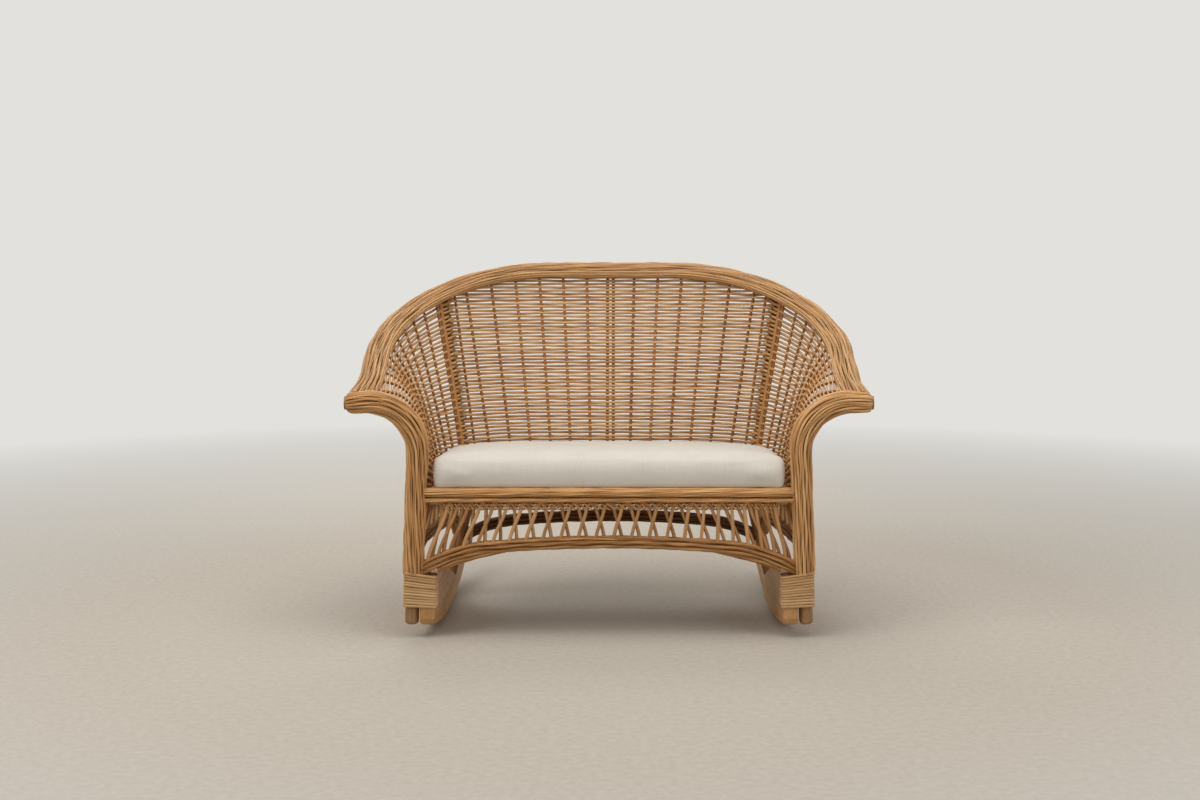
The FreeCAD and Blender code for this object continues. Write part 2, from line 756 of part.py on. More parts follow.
leg_foot = {}
for word, side in SIDES:
    name = word + "_rocker"
    body = new_body(name)
    outline = new_sketch(body, name + "_outline", "YZ_Plane")
    runner_outline(outline)
    doc.recompute()
    pad = body.newObject("PartDesign::Pad", name + "_board")
    pad.Profile = outline
    pad.setExpression("Length", "Sizes.rocker_thick")
    pad.Midplane = True
    doc.recompute()
    long_edges = []
    for number, edge in enumerate(pad.Shape.Edges, 1):
        round_curve = isinstance(edge.Curve, Part.Circle)
        if round_curve and abs(edge.Curve.Radius - s["rocker_radius"]) < 0.01:
            long_edges.append("Edge%d" % number)
    fillet = body.newObject("PartDesign::Fillet", name + "_edges")
    fillet.Base = (pad, long_edges)
    fillet.setExpression("Radius", "Sizes.rocker_edge")
    body.Placement = runner_place(side)
    doc.recompute()
    top_radius = s["rocker_radius"] - s["rocker_deep"]
    leg_height = s["rocker_radius"] - math.sqrt(top_radius**2 - (s["leg_back"] - s["front_reach"]) ** 2)
    leg_foot[side] = runner_place(side).multVec(Vec(0, s["leg_back"], leg_height))

# Rear legs, stretcher, rear arch and strut


def runner_seat(side):
    """Room above the runner's hollow top, so that a foot cut to it stands flat."""
    ends = [Vec(reach, s["front_reach"], s["rocker_radius"]) for reach in (-s["leg_back"] / 2, s["leg_back"] / 2)]
    first, last = [runner_place(side).multVec(end) for end in ends]
    return cylinder(first, last, 2 * (s["rocker_radius"] - s["rocker_deep"] - CLEAR))


leg_line = {}
for word, side in SIDES:
    u, v = hoop_point(1.0, *hoop_shape)
    head = mirrored(hoop_place.multVec(Vec(u, v, 0)), side)
    foot = leg_foot[side]
    head = stop_before(foot, head, s["leg_across"] / 2, lambda p: line_gap(p, hoop_chain, s["hoop_across"] / 2))
    spare = (foot - head).normalize() * s["leg_across"]
    pole = cylinder(foot + spare, head, s["leg_across"])
    feature(word + "_rear_leg", pole.common(runner_seat(side)))
    leg_line[side] = (foot, head)


def leg_at(height, side):
    foot, head = leg_line[side]
    return foot + (head - foot) * ((height - foot.z) / (head.z - foot.z))


middle = leg_at(s["stretcher_height"], 1)
stretcher_y = middle.y
leg_low, leg_high = leg_line[1]
lean = abs(leg_low.x - leg_high.x) / (leg_high.z - leg_low.z)
inner = middle.x - s["leg_across"] / 2 * math.hypot(1, lean) - s["stretcher_across"] / 2 * lean - CLEAR
rod(
    "rear_stretcher",
    Vec(-inner, stretcher_y, s["stretcher_height"]),
    Vec(inner, stretcher_y, s["stretcher_height"]),
    "stretcher_across",
)

rear_end = leg_at(s["arch_end"], 1)
rear_half = rear_end.x
rear_trail, rear_steep = arch_trail(rear_half, s["arch_height"] - 10, s["arch_end"] + 6)


def arch_start(half, end, steep):
    """Section plane square to the arch's left end."""
    turn = Rotation(Vec(0, 1, 0), 0)
    turn = Rotation(Vec(0, 0, 1), Vec(math.cos(steep), 0, math.sin(steep)))
    return Placement(Vec(-half, 0, end), turn)


def arch_body(name, trail, half, end, steep, place, poles):
    """An arch whose ends are cut to sit against the poles they meet."""
    ring = [(s["arch_across"], "Sizes.arch_across")]
    body = sweep(name, "XZ_Plane", trail, ring, arch_start(half, end, steep), "XY_Plane", place)
    back = place.inverse()
    for number, (point, way, alias) in enumerate(poles):
        offset = Placement(back.multVec(point), toward(back.Rotation.multVec(way)))
        cut = new_sketch(body, "%s_cope_%d" % (name, number), "XY_Plane", offset)
        add_circle(cut, s[alias] + 2 * CLEAR, "Sizes.%s + %s" % (alias, 2 * CLEAR))
        doc.recompute()
        pocket = body.newObject("PartDesign::Pocket", "%s_coped_%d" % (name, number))
        pocket.Profile = cut
        pocket.setExpression("Length", "Sizes.arm_height")
        pocket.Midplane = True
        doc.recompute()
    return body


def roll_axis(side):
    lean = math.radians(s["post_splay"])
    point = Vec(side * post_x(s["arch_end"]), front_y, s["arch_end"])
    return point, Vec(-side * math.sin(lean), 0, math.cos(lean)), "roll_across"


def leg_axis(side):
    foot, head = leg_line[side]
    return leg_at(s["arch_end"], side), (head - foot).normalize(), "leg_across"


rear_place = Placement(Vec(0, rear_end.y, 0), Rotation())
rear_poles = [leg_axis(-1), leg_axis(1)]
arch_body("rear_arch", rear_trail, rear_half, s["arch_end"] + 6, rear_steep, rear_place, rear_poles)
rear_arch_chain = lift(Placement(rear_place.Base, Rotation(Vec(1, 0, 0), 90)), rear_trail.points(15))
stretcher_chain = [Vec(-inner, stretcher_y, s["stretcher_height"]), Vec(inner, stretcher_y, s["stretcher_height"])]
strut_low = Vec(0, rear_end.y, s["arch_height"] - 10)
strut_high = Vec(0, stretcher_y, s["stretcher_height"])
strut_middle = (strut_low + strut_high) * 0.5
rod(
    "rear_arch_strut",
    stop_before(strut_middle, strut_low, s["strut_across"] / 2, lambda p: line_gap(p, rear_arch_chain, s["arch_across"] / 2)),
    stop_before(strut_middle, strut_high, s["strut_across"] / 2, lambda p: line_gap(p, stretcher_chain, s["stretcher_across"] / 2)),
    "strut_across",
)

# Front arch and side arches

front_half = post_x(s["arch_end"])
front_trail, front_steep = arch_trail(front_half, s["arch_height"], s["arch_end"])
front_poles = [roll_axis(-1), roll_axis(1)]
arch_body("front_arch", front_trail, front_half, s["arch_end"], front_steep, post_place, front_poles)
front_arch_chain = lift(Placement(post_place.Base, Rotation(Vec(1, 0, 0), 90)), front_trail.points(15))

side_arch_chain = {}
for word, side in SIDES:
    front = Vec(side * post_x(s["arch_end"]), front_y, 0)
    rear = leg_at(s["arch_end"], side)
    rear = Vec(rear.x, rear.y, 0)
    way = rear - front
    middle = (front + rear) * 0.5
    half = way.Length / 2
    trail, steep = arch_trail(half, s["arch_height"] + 2, s["arch_end"] + 8)
    place = Placement(middle, Rotation(Vec(0, 0, 1), math.degrees(math.atan2(way.y, way.x))))
    side_poles = [roll_axis(side), leg_axis(side)]
    arch_body(word + "_side_arch", trail, half, s["arch_end"] + 8, steep, place, side_poles)
    upright = place.multiply(Placement(Vec(0, 0, 0), Rotation(Vec(1, 0, 0), 90)))
    side_arch_chain[side] = lift(upright, trail.points(15))

# Crossed reeds between the seat frame and the arches


def lattice(name, count, top_at, low_at, normal_at, top_gap, low_gap):
    """Pairs of reeds that lean left and right, in two layers that just clear."""
    reeds = []
    radius = s["reed_across"] / 2
    for number in range(count):
        for lean in (-1, 1):
            place = (number + 0.5 + lean * 0.31) / count
            foot = (number + 0.5 - lean * 0.30) / count
            away = normal_at(place) * (lean * (radius + 0.2))
            top = top_at(place) + away
            low = low_at(foot) + away
            middle = (top + low) * 0.5
            head = stop_before(middle, top, radius, top_gap)
            tail = stop_before(middle, low, radius, low_gap)
            reeds.append(cylinder(tail, head, s["reed_across"]))
    feature(name, Part.makeCompound(reeds))


def chain_point(chain, share):
    """Point at a share of a chain's length."""
    lengths = [(b - a).Length for a, b in zip(chain, chain[1:])]
    goal = share * sum(lengths)
    for first, last, length in zip(chain, chain[1:], lengths):
        if goal <= length:
            return first + (last - first) * (goal / max(length, 1e-9))
        goal -= length
    return chain[-1]


rail_chain = [Vec(-rail_end, front_y, s["rail_height"]), Vec(rail_end, front_y, s["rail_height"])]
reed_reach = rail_end - 12


def front_spread(share):
    """Where a pair of reeds crosses: wide steps in the middle, close beside the posts."""
    across = 2 * share - 1
    return 1.19 * across - 0.205 * across**3


def front_top(share):
    across = front_spread(share)
    return Vec(reed_reach * (across - 0.043 * across * abs(across)), front_y, s["rail_height"])


def front_low(share):
    """Feet fan outward from the middle."""
    across = front_spread(share)
    return front_low_point(reed_reach * (across + 0.052 * across * abs(across)))


def front_low_point(x):
    for here, there in zip(front_arch_chain, front_arch_chain[1:]):
        if there.x >= x:
            part = (x - here.x) / max(there.x - here.x, 1e-9)
            return here + (there - here) * part
    return front_arch_chain[-1]


lattice(
    "front_lattice",
    FRONT_REEDS,
    front_top,
    front_low,
    lambda share: Vec(0, 1, 0),
    lambda p: line_gap(p, rail_chain, s["rail_across"] / 2),
    lambda p: line_gap(p, front_arch_chain, s["arch_across"] / 2),
)

for word, side in SIDES:
    arch_chain = side_arch_chain[side]
    half_hoop = [mirrored(hoop_place.multVec(Vec(*hoop_point(i / 60, *hoop_shape), 0)), side) for i in range(61)]

    def side_top(share, chain=half_hoop):
        return chain_point(chain, 0.06 + 0.84 * share)

    def side_low(share, chain=arch_chain):
        return chain_point(chain, 0.05 + 0.90 * share)

    lattice(
        word + "_lattice",
        SIDE_REEDS,
        side_top,
        side_low,
        lambda share, side=side: Vec(side, 0, 0),
        lambda p: line_gap(p, hoop_chain, s["hoop_across"] / 2),
        lambda p, chain=arch_chain: line_gap(p, chain, s["arch_across"] / 2),
    )

# Foot bindings: one unbroken cane each, level turns with the climb behind


def arc_edge(start, way, end):
    """Arc that leaves start along way and reaches end."""
    chord = end - start
    along = chord.dot(way)
    across = chord - way * along
    if across.Length < 1e-9:
        return Part.LineSegment(start, end).toShape()
    half = math.atan2(across.Length, along)
    radius = chord.Length / (2 * math.sin(half))
    side_way = across * (1 / across.Length)
    middle = start + way * (radius * math.sin(half)) + side_way * (radius * (1 - math.cos(half)))
    return Part.Arc(start, middle, end).toShape()


def binding_path(side):
    cane = s["cane_across"] / 2
    hug = cane + CLEAR + 0.2
    slack = 1.6
    inner = rocker_half_gap - s["rocker_thick"] / 2 - hug - slack
    outer = post_x(s["notch_floor"]) + s["post_across"] / 2 + hug
    skew = math.radians(s["rocker_toe_in"])
    deep = s["rocker_nose"] * math.cos(skew) + s["rocker_thick"] / 2 * math.sin(skew)
    front, back = -deep - hug, deep + hug
    bend = 6.2
    start_height = s["notch_floor"] + cane + 1.4
    edges = []
    ring = []

    def at(x, y, z):
        return Vec(side * x, front_y + y, z)

    out, rear = Vec(side, 0, 0), Vec(0, 1, 0)
    for turn in range(TURNS_OF_CANE):
        z = start_height + turn * s["cane_pitch"]
        stops = [
            (at(outer - bend, back, z), out),
            (at(outer, back - bend, z), rear * -1),
            (at(outer, front + bend, z), rear * -1),
            (at(outer - bend, front, z), out * -1),
            (at(inner + bend, front, z), out * -1),
            (at(inner, front + bend, z), rear),
            (at(inner, back - bend, z), rear),
            (at(inner + bend, back, z), out),
        ]
        for (here, way), (there, _) in zip(stops, stops[1:]):
            edges.append(arc_edge(here, way, there))
        if turn == TURNS_OF_CANE - 1:
            break
        here = stops[-1][0]
        there = at(outer - bend, back, z + s["cane_pitch"])
        middle = (here + there) * 0.5
        edges.append(arc_edge(here, out, middle))
        rise = arc_edge(there, out * -1, middle)
        edges.append(Part.Arc(middle, rise.valueAt((rise.FirstParameter + rise.LastParameter) / 2), there).toShape())
    return edges


for word, side in SIDES:
    edges = binding_path(side)
    wire = Part.Wire(edges)
    first = edges[0].valueAt(edges[0].FirstParameter)
    ring = Part.Wire([Part.Circle(first, Vec(1, 0, 0), s["cane_across"] / 2).toShape()])
    cane = wire.makePipeShell([ring], True, False)
    feature(word + "_foot_binding", cane)
    marks = []
    travelled = 0.0
    for edge in edges:
        count = max(2, int(edge.Length / 3))
        for i in range(count):
            part = edge.FirstParameter + (edge.LastParameter - edge.FirstParameter) * i / count
            marks.append((travelled + edge.Length * i / count, edge.valueAt(part)))
        travelled += edge.Length
    least = 1e9
    turn_length = travelled / TURNS_OF_CANE
    for i, (done, here) in enumerate(marks):
        for further, there in marks[i + 1 :]:
            if further - done > 1.3 * turn_length:
                break
            if further - done > 4 * s["cane_across"]:
                least = min(least, (here - there).Length)
    print(word, "binding, least gap to itself %.2f mm" % (least - s["cane_across"]))

# Cushion: a filled cover with a crown and drawn-in sides

EDGE_ROUND = 14.0
ROUND_STEPS = 4
CROWN_STEPS = 4
CROWN_REACH = 0.56 * min(corner_radii(cushion_half - cushion_back_half, cushion_corner))


def cushion_rows(inset, low, high, crown):
    """Height and inset of each level: rounded edges, sides drawn in, low crown."""
    rows = []
    for i in range(ROUND_STEPS + 1):
        angle = i / ROUND_STEPS * math.pi / 2
        rows.append((low + EDGE_ROUND * (1 - math.cos(angle)), inset + EDGE_ROUND * (1 - math.sin(angle))))
    rows.append(((low + high) / 2, inset + 2.5))
    for i in range(ROUND_STEPS + 1):
        angle = i / ROUND_STEPS * math.pi / 2
        rows.append((high - EDGE_ROUND * (1 - math.sin(angle)), inset + EDGE_ROUND * (1 - math.cos(angle))))
    for i in range(1, CROWN_STEPS + 1):
        part = i / CROWN_STEPS
        rows.append((high + crown * (1 - (1 - part) ** 2), inset + EDGE_ROUND + (CROWN_REACH - EDGE_ROUND) * part))
    return rows


def cushion_outline(sketch, inset):
    """Plan of the cushion, moved in by inset; front edge drawn in between its corners."""
    half = cushion_half - inset
    front = s["cushion_front"] + inset
    corner = 30.0 + inset * 0.35
    back = cushion_side_end + cushion_corner - inset
    first, second = corner_radii(cushion_half - cushion_back_half, cushion_corner)
    trail = Trail(-half + corner, front, 180)
    trail.arc(corner, -90)
    trail.line(cushion_side_end - front - corner)
    trail.arc(first - inset, -45).arc(second - inset, -45)
    trail.line(2 * cushion_back_half)
    trail.arc(second - inset, -45).arc(first - inset, -45)
    trail.line(cushion_side_end - front - corner)
    trail.arc(corner, -90)
    sketch.addGeometry(trail.geometry())
    span = half - corner
    draw = 5.0
    radius = (span * span + draw * draw) / (2 * draw)
    angle = math.asin(span / radius)
    centre = (0, front + draw - radius)
    sketch.addGeometry(circle_arc(centre, radius, math.pi / 2 - angle, math.pi / 2 + angle))


def cushion_loft(body, kind, word, inset, low, high, crown):
    sections = []
    for number, (height, more) in enumerate(cushion_rows(inset, low, high, crown)):
        place = Placement(Vec(0, 0, height), Rotation())
        sketch = new_sketch(body, "%s_%s_%d" % (body.Name, word, number), "XY_Plane", place)
        cushion_outline(sketch, more)
        sections.append(sketch)
    doc.recompute()
    loft = body.newObject("PartDesign::" + kind, "%s_%s" % (body.Name, word))
    loft.Profile = sections[0]
    loft.Sections = [(sketch, [""]) for sketch in sections[1:]]
    loft.Ruled = True
    doc.recompute()


cushion_low = s["slat_thick"] + CLEAR
wall = s["cover_thick"]
cover = new_body("cushion_cover")
cushion_loft(cover, "AdditiveLoft", "outside", 0, cushion_low, cushion_low + s["cushion_high"], s["cushion_crown"])
cushion_loft(
    cover,
    "SubtractiveLoft",
    "inside",
    wall,
    cushion_low + wall,
    cushion_low + s["cushion_high"] - wall,
    s["cushion_crown"],
)
cover.Placement = seat_place
core = new_body("cushion_core")
gap = wall + 0.5
cushion_loft(
    core,
    "AdditiveLoft",
    "filling",
    gap,
    cushion_low + gap,
    cushion_low + s["cushion_high"] - gap,
    s["cushion_crown"] - 0.2,
)
core.Placement = seat_place
doc.recompute()

# Frame screws

screws = []


def screw(start, way):
    way = Vec(way.x, way.y, way.z).normalize()
    head = s["screw_across"] * 0.9
    shank = Part.makeCylinder(s["screw_across"] / 2, s["screw_long"], start, way)
    cone = Part.makeCone(head, s["screw_across"] / 2, head * 0.6, start, way)
    screws.append(shank.fuse(cone).removeSplitter())


for word, side in SIDES:
    inside = rocker_half_gap - s["rocker_thick"] / 2 + 3
    for part in (0.25, 0.7):
        height = s["notch_floor"] + (s["horn_top"] - s["notch_floor"]) * part
        screw(Vec(side * inside, front_y, height), Vec(side, 0, 0))
    foot, head = leg_line[side]
    way = (head - foot).normalize()
    screw(foot - way * 30, way)
    pole_place = mirrored(post_foot, side)
    level = mirrored(weave_profile(1.0)[4], side)
    outer = mirrored(low, side)
    u, v = hoop_point(1.0, *hoop_shape)
    hoop_middle = mirrored(hoop_place.multVec(Vec(u, v, 0)), side)
    axis = nodes[word + "_back_post"].Placement.Rotation.multVec(Vec(0, 0, 1))
    axis_point = pole_place + axis * ((hoop_middle - pole_place).dot(axis))
    inward = (hoop_middle - axis_point).normalize()
    screw(axis_point - inward * (s["back_post_across"] / 2 - 1.0), inward)
feature("frame_screws", Part.makeCompound(screws))

# Check every object, then write one file per piece

doc.recompute()
for thing in doc.Objects:
    if "Invalid" in thing.State or "Error" in thing.State:
        raise RuntimeError("%s is %s" % (thing.Label, thing.State))
os.makedirs("parts", exist_ok=True)
for name, thing in nodes.items():
    shape = thing.Shape
    if shape.isNull() or not shape.isValid() or not shape.Solids:
        raise RuntimeError("%s has no valid solid" % name)
    if min(solid.Volume for solid in shape.Solids) <= 0:
        raise RuntimeError("%s is inside out" % name)
    shape.exportStep("parts/%s.step" % name)
print(len(nodes), "pieces")
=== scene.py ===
# Wicker rocking settee: looks. Metres, in the frame of the construction.

import bisect
import math
import random

import bmesh
import bpy
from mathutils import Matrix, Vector, noise


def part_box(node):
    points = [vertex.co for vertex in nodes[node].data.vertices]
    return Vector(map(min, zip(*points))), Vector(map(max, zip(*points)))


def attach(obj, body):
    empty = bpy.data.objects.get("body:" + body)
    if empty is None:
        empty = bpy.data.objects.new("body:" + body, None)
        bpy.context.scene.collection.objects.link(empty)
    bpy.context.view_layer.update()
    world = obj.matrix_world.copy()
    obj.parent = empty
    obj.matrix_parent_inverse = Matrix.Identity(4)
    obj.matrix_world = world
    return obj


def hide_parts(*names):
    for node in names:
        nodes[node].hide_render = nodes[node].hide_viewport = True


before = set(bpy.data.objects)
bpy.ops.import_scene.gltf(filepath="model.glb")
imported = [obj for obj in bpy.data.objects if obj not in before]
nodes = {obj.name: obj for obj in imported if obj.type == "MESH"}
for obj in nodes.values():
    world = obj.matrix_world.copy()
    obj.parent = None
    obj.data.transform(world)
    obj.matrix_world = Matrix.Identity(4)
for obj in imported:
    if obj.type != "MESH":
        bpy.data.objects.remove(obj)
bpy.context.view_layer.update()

SIDES = (("left", -1), ("right", 1))
UP = Vector((0, 0, 1))
BACK = Vector((0, 1, 0))

# Sizes, as the construction has them

ARM_TIP = 0.650
ARM_HEIGHT = 0.575
ARM_FLAT = 0.053
ARM_BEND = 0.125
POST_SPLAY = math.radians(1.7)
POST_ACROSS = 0.034
ROLL_ACROSS = 0.052
ROLL_BOTTOM = 0.155
FRONT_Y = -0.284
# Horseshoes: half width, front end, end of the straight side, depth of the corner, half of the straight back
RIM_SHAPE = (0.600, 0.0, 0.233, 0.487, 0.160)
HOOP_SHAPE = (0.4553, 0.0267, 0.250, 0.275, 0.190)
RIM_TILT = math.radians(25.5)
RIM_WIDE = 0.062
RIM_THICK = 0.039
SEAT_HEIGHT = 0.353
SEAT_TILT = math.radians(-3)
HOOP_ACROSS = 0.028
RAIL_HEIGHT = 0.348
RAIL_ACROSS = 0.034
ARCH_ACROSS = 0.030
ARCH_HEIGHT = 0.233
ARCH_END = 0.153
REED_ACROSS = 0.008
FRONT_REEDS = 24
SIDE_REEDS = 9
SEAT_SLATS = 9
SLAT_THICK = 0.012
LEG_ACROSS = 0.034
CUSHION_HALF = 0.4323
CUSHION_FULL = 0.436
CUSHION_FRONT = -0.013
CUSHION_SIDE_END = 0.245
CUSHION_CORNER = 0.255
CUSHION_BACK_HALF = 0.185
CUSHION_HIGH = 0.074
CUSHION_CROWN = 0.012
CANE_PITCH = 0.0064
CANE_TURNS = 12
ROCKER_THICK = 0.036
ROCKER_NOSE = 0.020
ROCKER_HALF_GAP = 0.4444
NOTCH_FLOOR = 0.074

# Shapes that the pieces follow

SIDE_PART = 0.5  # share of a horseshoe's half along its straight side
BEND_PART = 0.6  # share from the 45 degree point to the straight back
FLAT_PART = 0.4  # share along half of the straight back
EIGHTH_TURN = math.pi / 4

WING_START = 0.055  # rim share where the weave's first line ends
WEAVE_FOOT = 0.0012  # lower end of the weave over the seat plane
RIM_GAP = 0.0045  # upper end of the weave before the rim roll
BOWL_RISE = 0.74  # how high the wings climb before they lean out
BOWL_REACH = 0.70  # how far out they lie level

ARCH_FLAT_PART = 0.62  # share of an arch that is nearly flat
ARCH_FLAT_RADIUS = 7.2  # radius of that part, in half widths


def lerp(first, second, share):
    return first * (1 - share) + second * share


def smooth(share):
    share = min(1.0, max(0.0, share))
    return share * share * (3 - 2 * share)


def tilted(u, v, w, height, tilt):
    """A point of a tilted plane that starts at the front posts."""
    y = FRONT_Y + v * math.cos(tilt) - w * math.sin(tilt)
    return Vector((u, y, height + v * math.sin(tilt) + w * math.cos(tilt)))


def on_seat(u, v, w=0.0):
    return tilted(u, v, w, SEAT_HEIGHT, SEAT_TILT)


def on_rim(u, v, w=0.0):
    return tilted(u, v, w, ARM_HEIGHT, RIM_TILT)


def corner_radii(across, deep):
    """Two arcs of 45 degrees that turn a corner of this size."""
    slow, fast = 1 - math.sqrt(0.5), math.sqrt(0.5)
    spread = fast - slow
    return (fast * deep - slow * across) / spread, (fast * across - slow * deep) / spread


def hoop_point(share, half, start, side_end, corner, back_half):
    """Left half of a horseshoe: 0 at the front, 1 at the 45 degree point, 2 at the middle."""
    first, second = corner_radii(half - back_half, corner)
    if share <= SIDE_PART:
        return -half, start + (side_end - start) * share / SIDE_PART
    if share <= 1:
        angle = EIGHTH_TURN * (share - SIDE_PART) / SIDE_PART
        return -half + first * (1 - math.cos(angle)), side_end + first * math.sin(angle)
    if share > 1 + BEND_PART:
        return -back_half * (2 - share) / FLAT_PART, side_end + corner
    knee_u = -half + first * (1 - math.cos(EIGHTH_TURN))
    knee_v = side_end + first * math.sin(EIGHTH_TURN)
    angle = EIGHTH_TURN + EIGHTH_TURN * (share - 1) / BEND_PART
    knee_u += second * (math.cos(EIGHTH_TURN) - math.cos(angle))
    knee_v += second * (math.sin(angle) - math.sin(EIGHTH_TURN))
    return knee_u, knee_v


def back_share(across, shape):
    """Share of a horseshoe's rear half at a distance from the middle."""
    half, _, _, corner, back_half = shape
    if across <= back_half:
        return 2 - FLAT_PART * across / back_half
    first, second = corner_radii(half - back_half, corner)
    knee = half - first * (1 - math.cos(EIGHTH_TURN))
    angle = math.acos(math.cos(EIGHTH_TURN) - (knee - across) / second)
    return 1 + BEND_PART * (angle - EIGHTH_TURN) / EIGHTH_TURN


def side_share(shape, part):
    """Share at a part of the way along one side, measured along the hoop, up to the 45 degree point."""
    half, start, side_end, corner, back_half = shape
    straight = side_end - start
    bend = corner_radii(half - back_half, corner)[0] * EIGHTH_TURN
    gone = part * (straight + bend)
    if gone <= straight:
        return SIDE_PART * gone / straight
    return SIDE_PART + SIDE_PART * (gone - straight) / bend


def rim_frame(share):
    """Rim axis point, outward direction in the rim plane, and the plane's normal."""
    u, v = hoop_point(share, *RIM_SHAPE)
    u2, v2 = hoop_point(share + 0.002, *RIM_SHAPE)
    u1, v1 = hoop_point(share - 0.002, *RIM_SHAPE)
    length = math.hypot(u2 - u1, v2 - v1)
    centre = on_rim(u, v)
    outward = on_rim(u - (v2 - v1) / length, v + (u2 - u1) / length) - centre
    return centre, outward, on_rim(u, v, 1.0) - centre


def weave_profile(share, rim_share):
    """Control points of one upright line of the weave, hoop to rim."""
    low = on_seat(*hoop_point(share, *HOOP_SHAPE), WEAVE_FOOT)
    centre, outward, normal = rim_frame(max(rim_share, WING_START))
    level = Vector((centre.x - low.x, centre.y - low.y, 0))
    reach = level.length
    level.normalize()
    bowl = smooth(1 - min(1.0, share))
    arrive = lerp((centre - low).normalized(), level, bowl).normalized()
    wide, high = arrive.dot(outward), arrive.dot(normal)
    edge = 1 / math.hypot(wide / (RIM_WIDE / 2), high / (RIM_THICK / 2))
    top = centre - arrive * (edge + RIM_GAP)
    plain = top - low
    first = lerp(low + plain * 0.333, low + UP * (BOWL_RISE * plain.z), bowl)
    second = lerp(low + plain * 0.667, top - level * (BOWL_REACH * reach * (1 - edge / reach)), bowl)
    return low, first, second, top


def weave_point(controls, part):
    low, first, second, top = controls
    rest = 1 - part
    middle = first * (3 * rest * rest * part) + second * (3 * rest * part * part)
    return low * rest**3 + middle + top * part**3


def post_x(height):
    """Distance of the post axis from the middle, on its straight part."""
    bend_x = ARM_TIP - ARM_FLAT - ARM_BEND * math.cos(POST_SPLAY)
    bend_z = ARM_HEIGHT - ARM_BEND - ARM_BEND * math.sin(POST_SPLAY)
    return bend_x + (bend_z - height) * math.tan(POST_SPLAY)


def arch_line(half, middle, end, count=90):
    """A flat arch with tighter ends, as distance and height, left end to right end."""
    main_half = ARCH_FLAT_PART * half
    main_radius = ARCH_FLAT_RADIUS * half
    lean = math.asin(main_half / main_radius)
    shoulder = middle - main_radius * (1 - math.cos(lean))
    across, drop = half - main_half, shoulder - end
    steep = 2 * math.atan2(drop, across) - lean
    radius = across / (math.sin(steep) - math.sin(lean))
    right = []
    for i in range(count // 2 + 1):
        distance = half * i / (count // 2)
        if distance <= main_half:
            height = middle - main_radius + math.sqrt(main_radius**2 - distance**2)
        else:
            sine = math.sin(lean) + (distance - main_half) / radius
            height = shoulder - radius * (math.cos(lean) - math.sqrt(max(0, 1 - sine * sine)))
        right.append((distance, height))
    return [(-u, z) for u, z in reversed(right[1:])] + right


def resample(points, step):
    """Points at an even step along a chain."""
    gone = [0.0]
    for here, there in zip(points, points[1:]):
        gone.append(gone[-1] + (there - here).length)
    count = max(2, round(gone[-1] / step))
    found = []
    spot = 0
    for i in range(count + 1):
        goal = gone[-1] * i / count
        while spot < len(points) - 2 and gone[spot + 1] < goal:
            spot += 1
        part = (goal - gone[spot]) / max(1e-9, gone[spot + 1] - gone[spot])
        found.append(lerp(points[spot], points[spot + 1], part))
    return found


# Strands: centre lines gathered in a bundle, dressed by one node tree


class Bundle:
    """Centre lines of the strands of one piece, with what the tree and the finish read at each point; deep is
    the share of painted shade.
    """

    def __init__(self):
        self.points, self.edges = [], []
        # deep: how much painted shade the finish lays on a strand at that point
        self.marks = {"thick": [], "tone": [], "along": [], "deep": []}
        self.ways = {"over_way": [], "face_way": []}

    def add(self, line, face_ways, tone, thick=1.0, deep=0.0, over_ways=None):
        start = len(self.points)
        gone = 0.0
        for i, point in enumerate(line):
            if i:
                gone += (point - line[i - 1]).length
                self.edges.append((start + i - 1, start + i))
            self.points.append(point)
            self.marks["thick"].append(thick[i] if isinstance(thick, list) else thick)
            self.marks["deep"].append(deep[i] if isinstance(deep, list) else deep)
            self.marks["tone"].append(tone)
            self.marks["along"].append(gone)
            self.ways["over_way"].append(over_ways[i] if over_ways else Vector())
            self.ways["face_way"].append(face_ways[i])


def set_inputs(tree, node, values):
    """Link each input of a node to a socket, or give it a plain value."""
    for socket, value in values.items():
        if isinstance(value, bpy.types.NodeSocket):
            tree.links.new(value, node.inputs[socket])
        else:
            node.inputs[socket].default_value = value


def add_node(tree, kind, values=(), **settings):
    made = tree.nodes.new(kind)
    for name, value in settings.items():
        setattr(made, name, value)
    set_inputs(tree, made, dict(values))
    return made


def math_node(tree, operation, first, second=0.0, third=0.0):
    return add_node(tree, "ShaderNodeMath", {0: first, 1: second, 2: third}, operation=operation).outputs[0]


def combine(tree, x, y, z):
    return add_node(tree, "ShaderNodeCombineXYZ", {"X": x, "Y": y, "Z": z}).outputs[0]


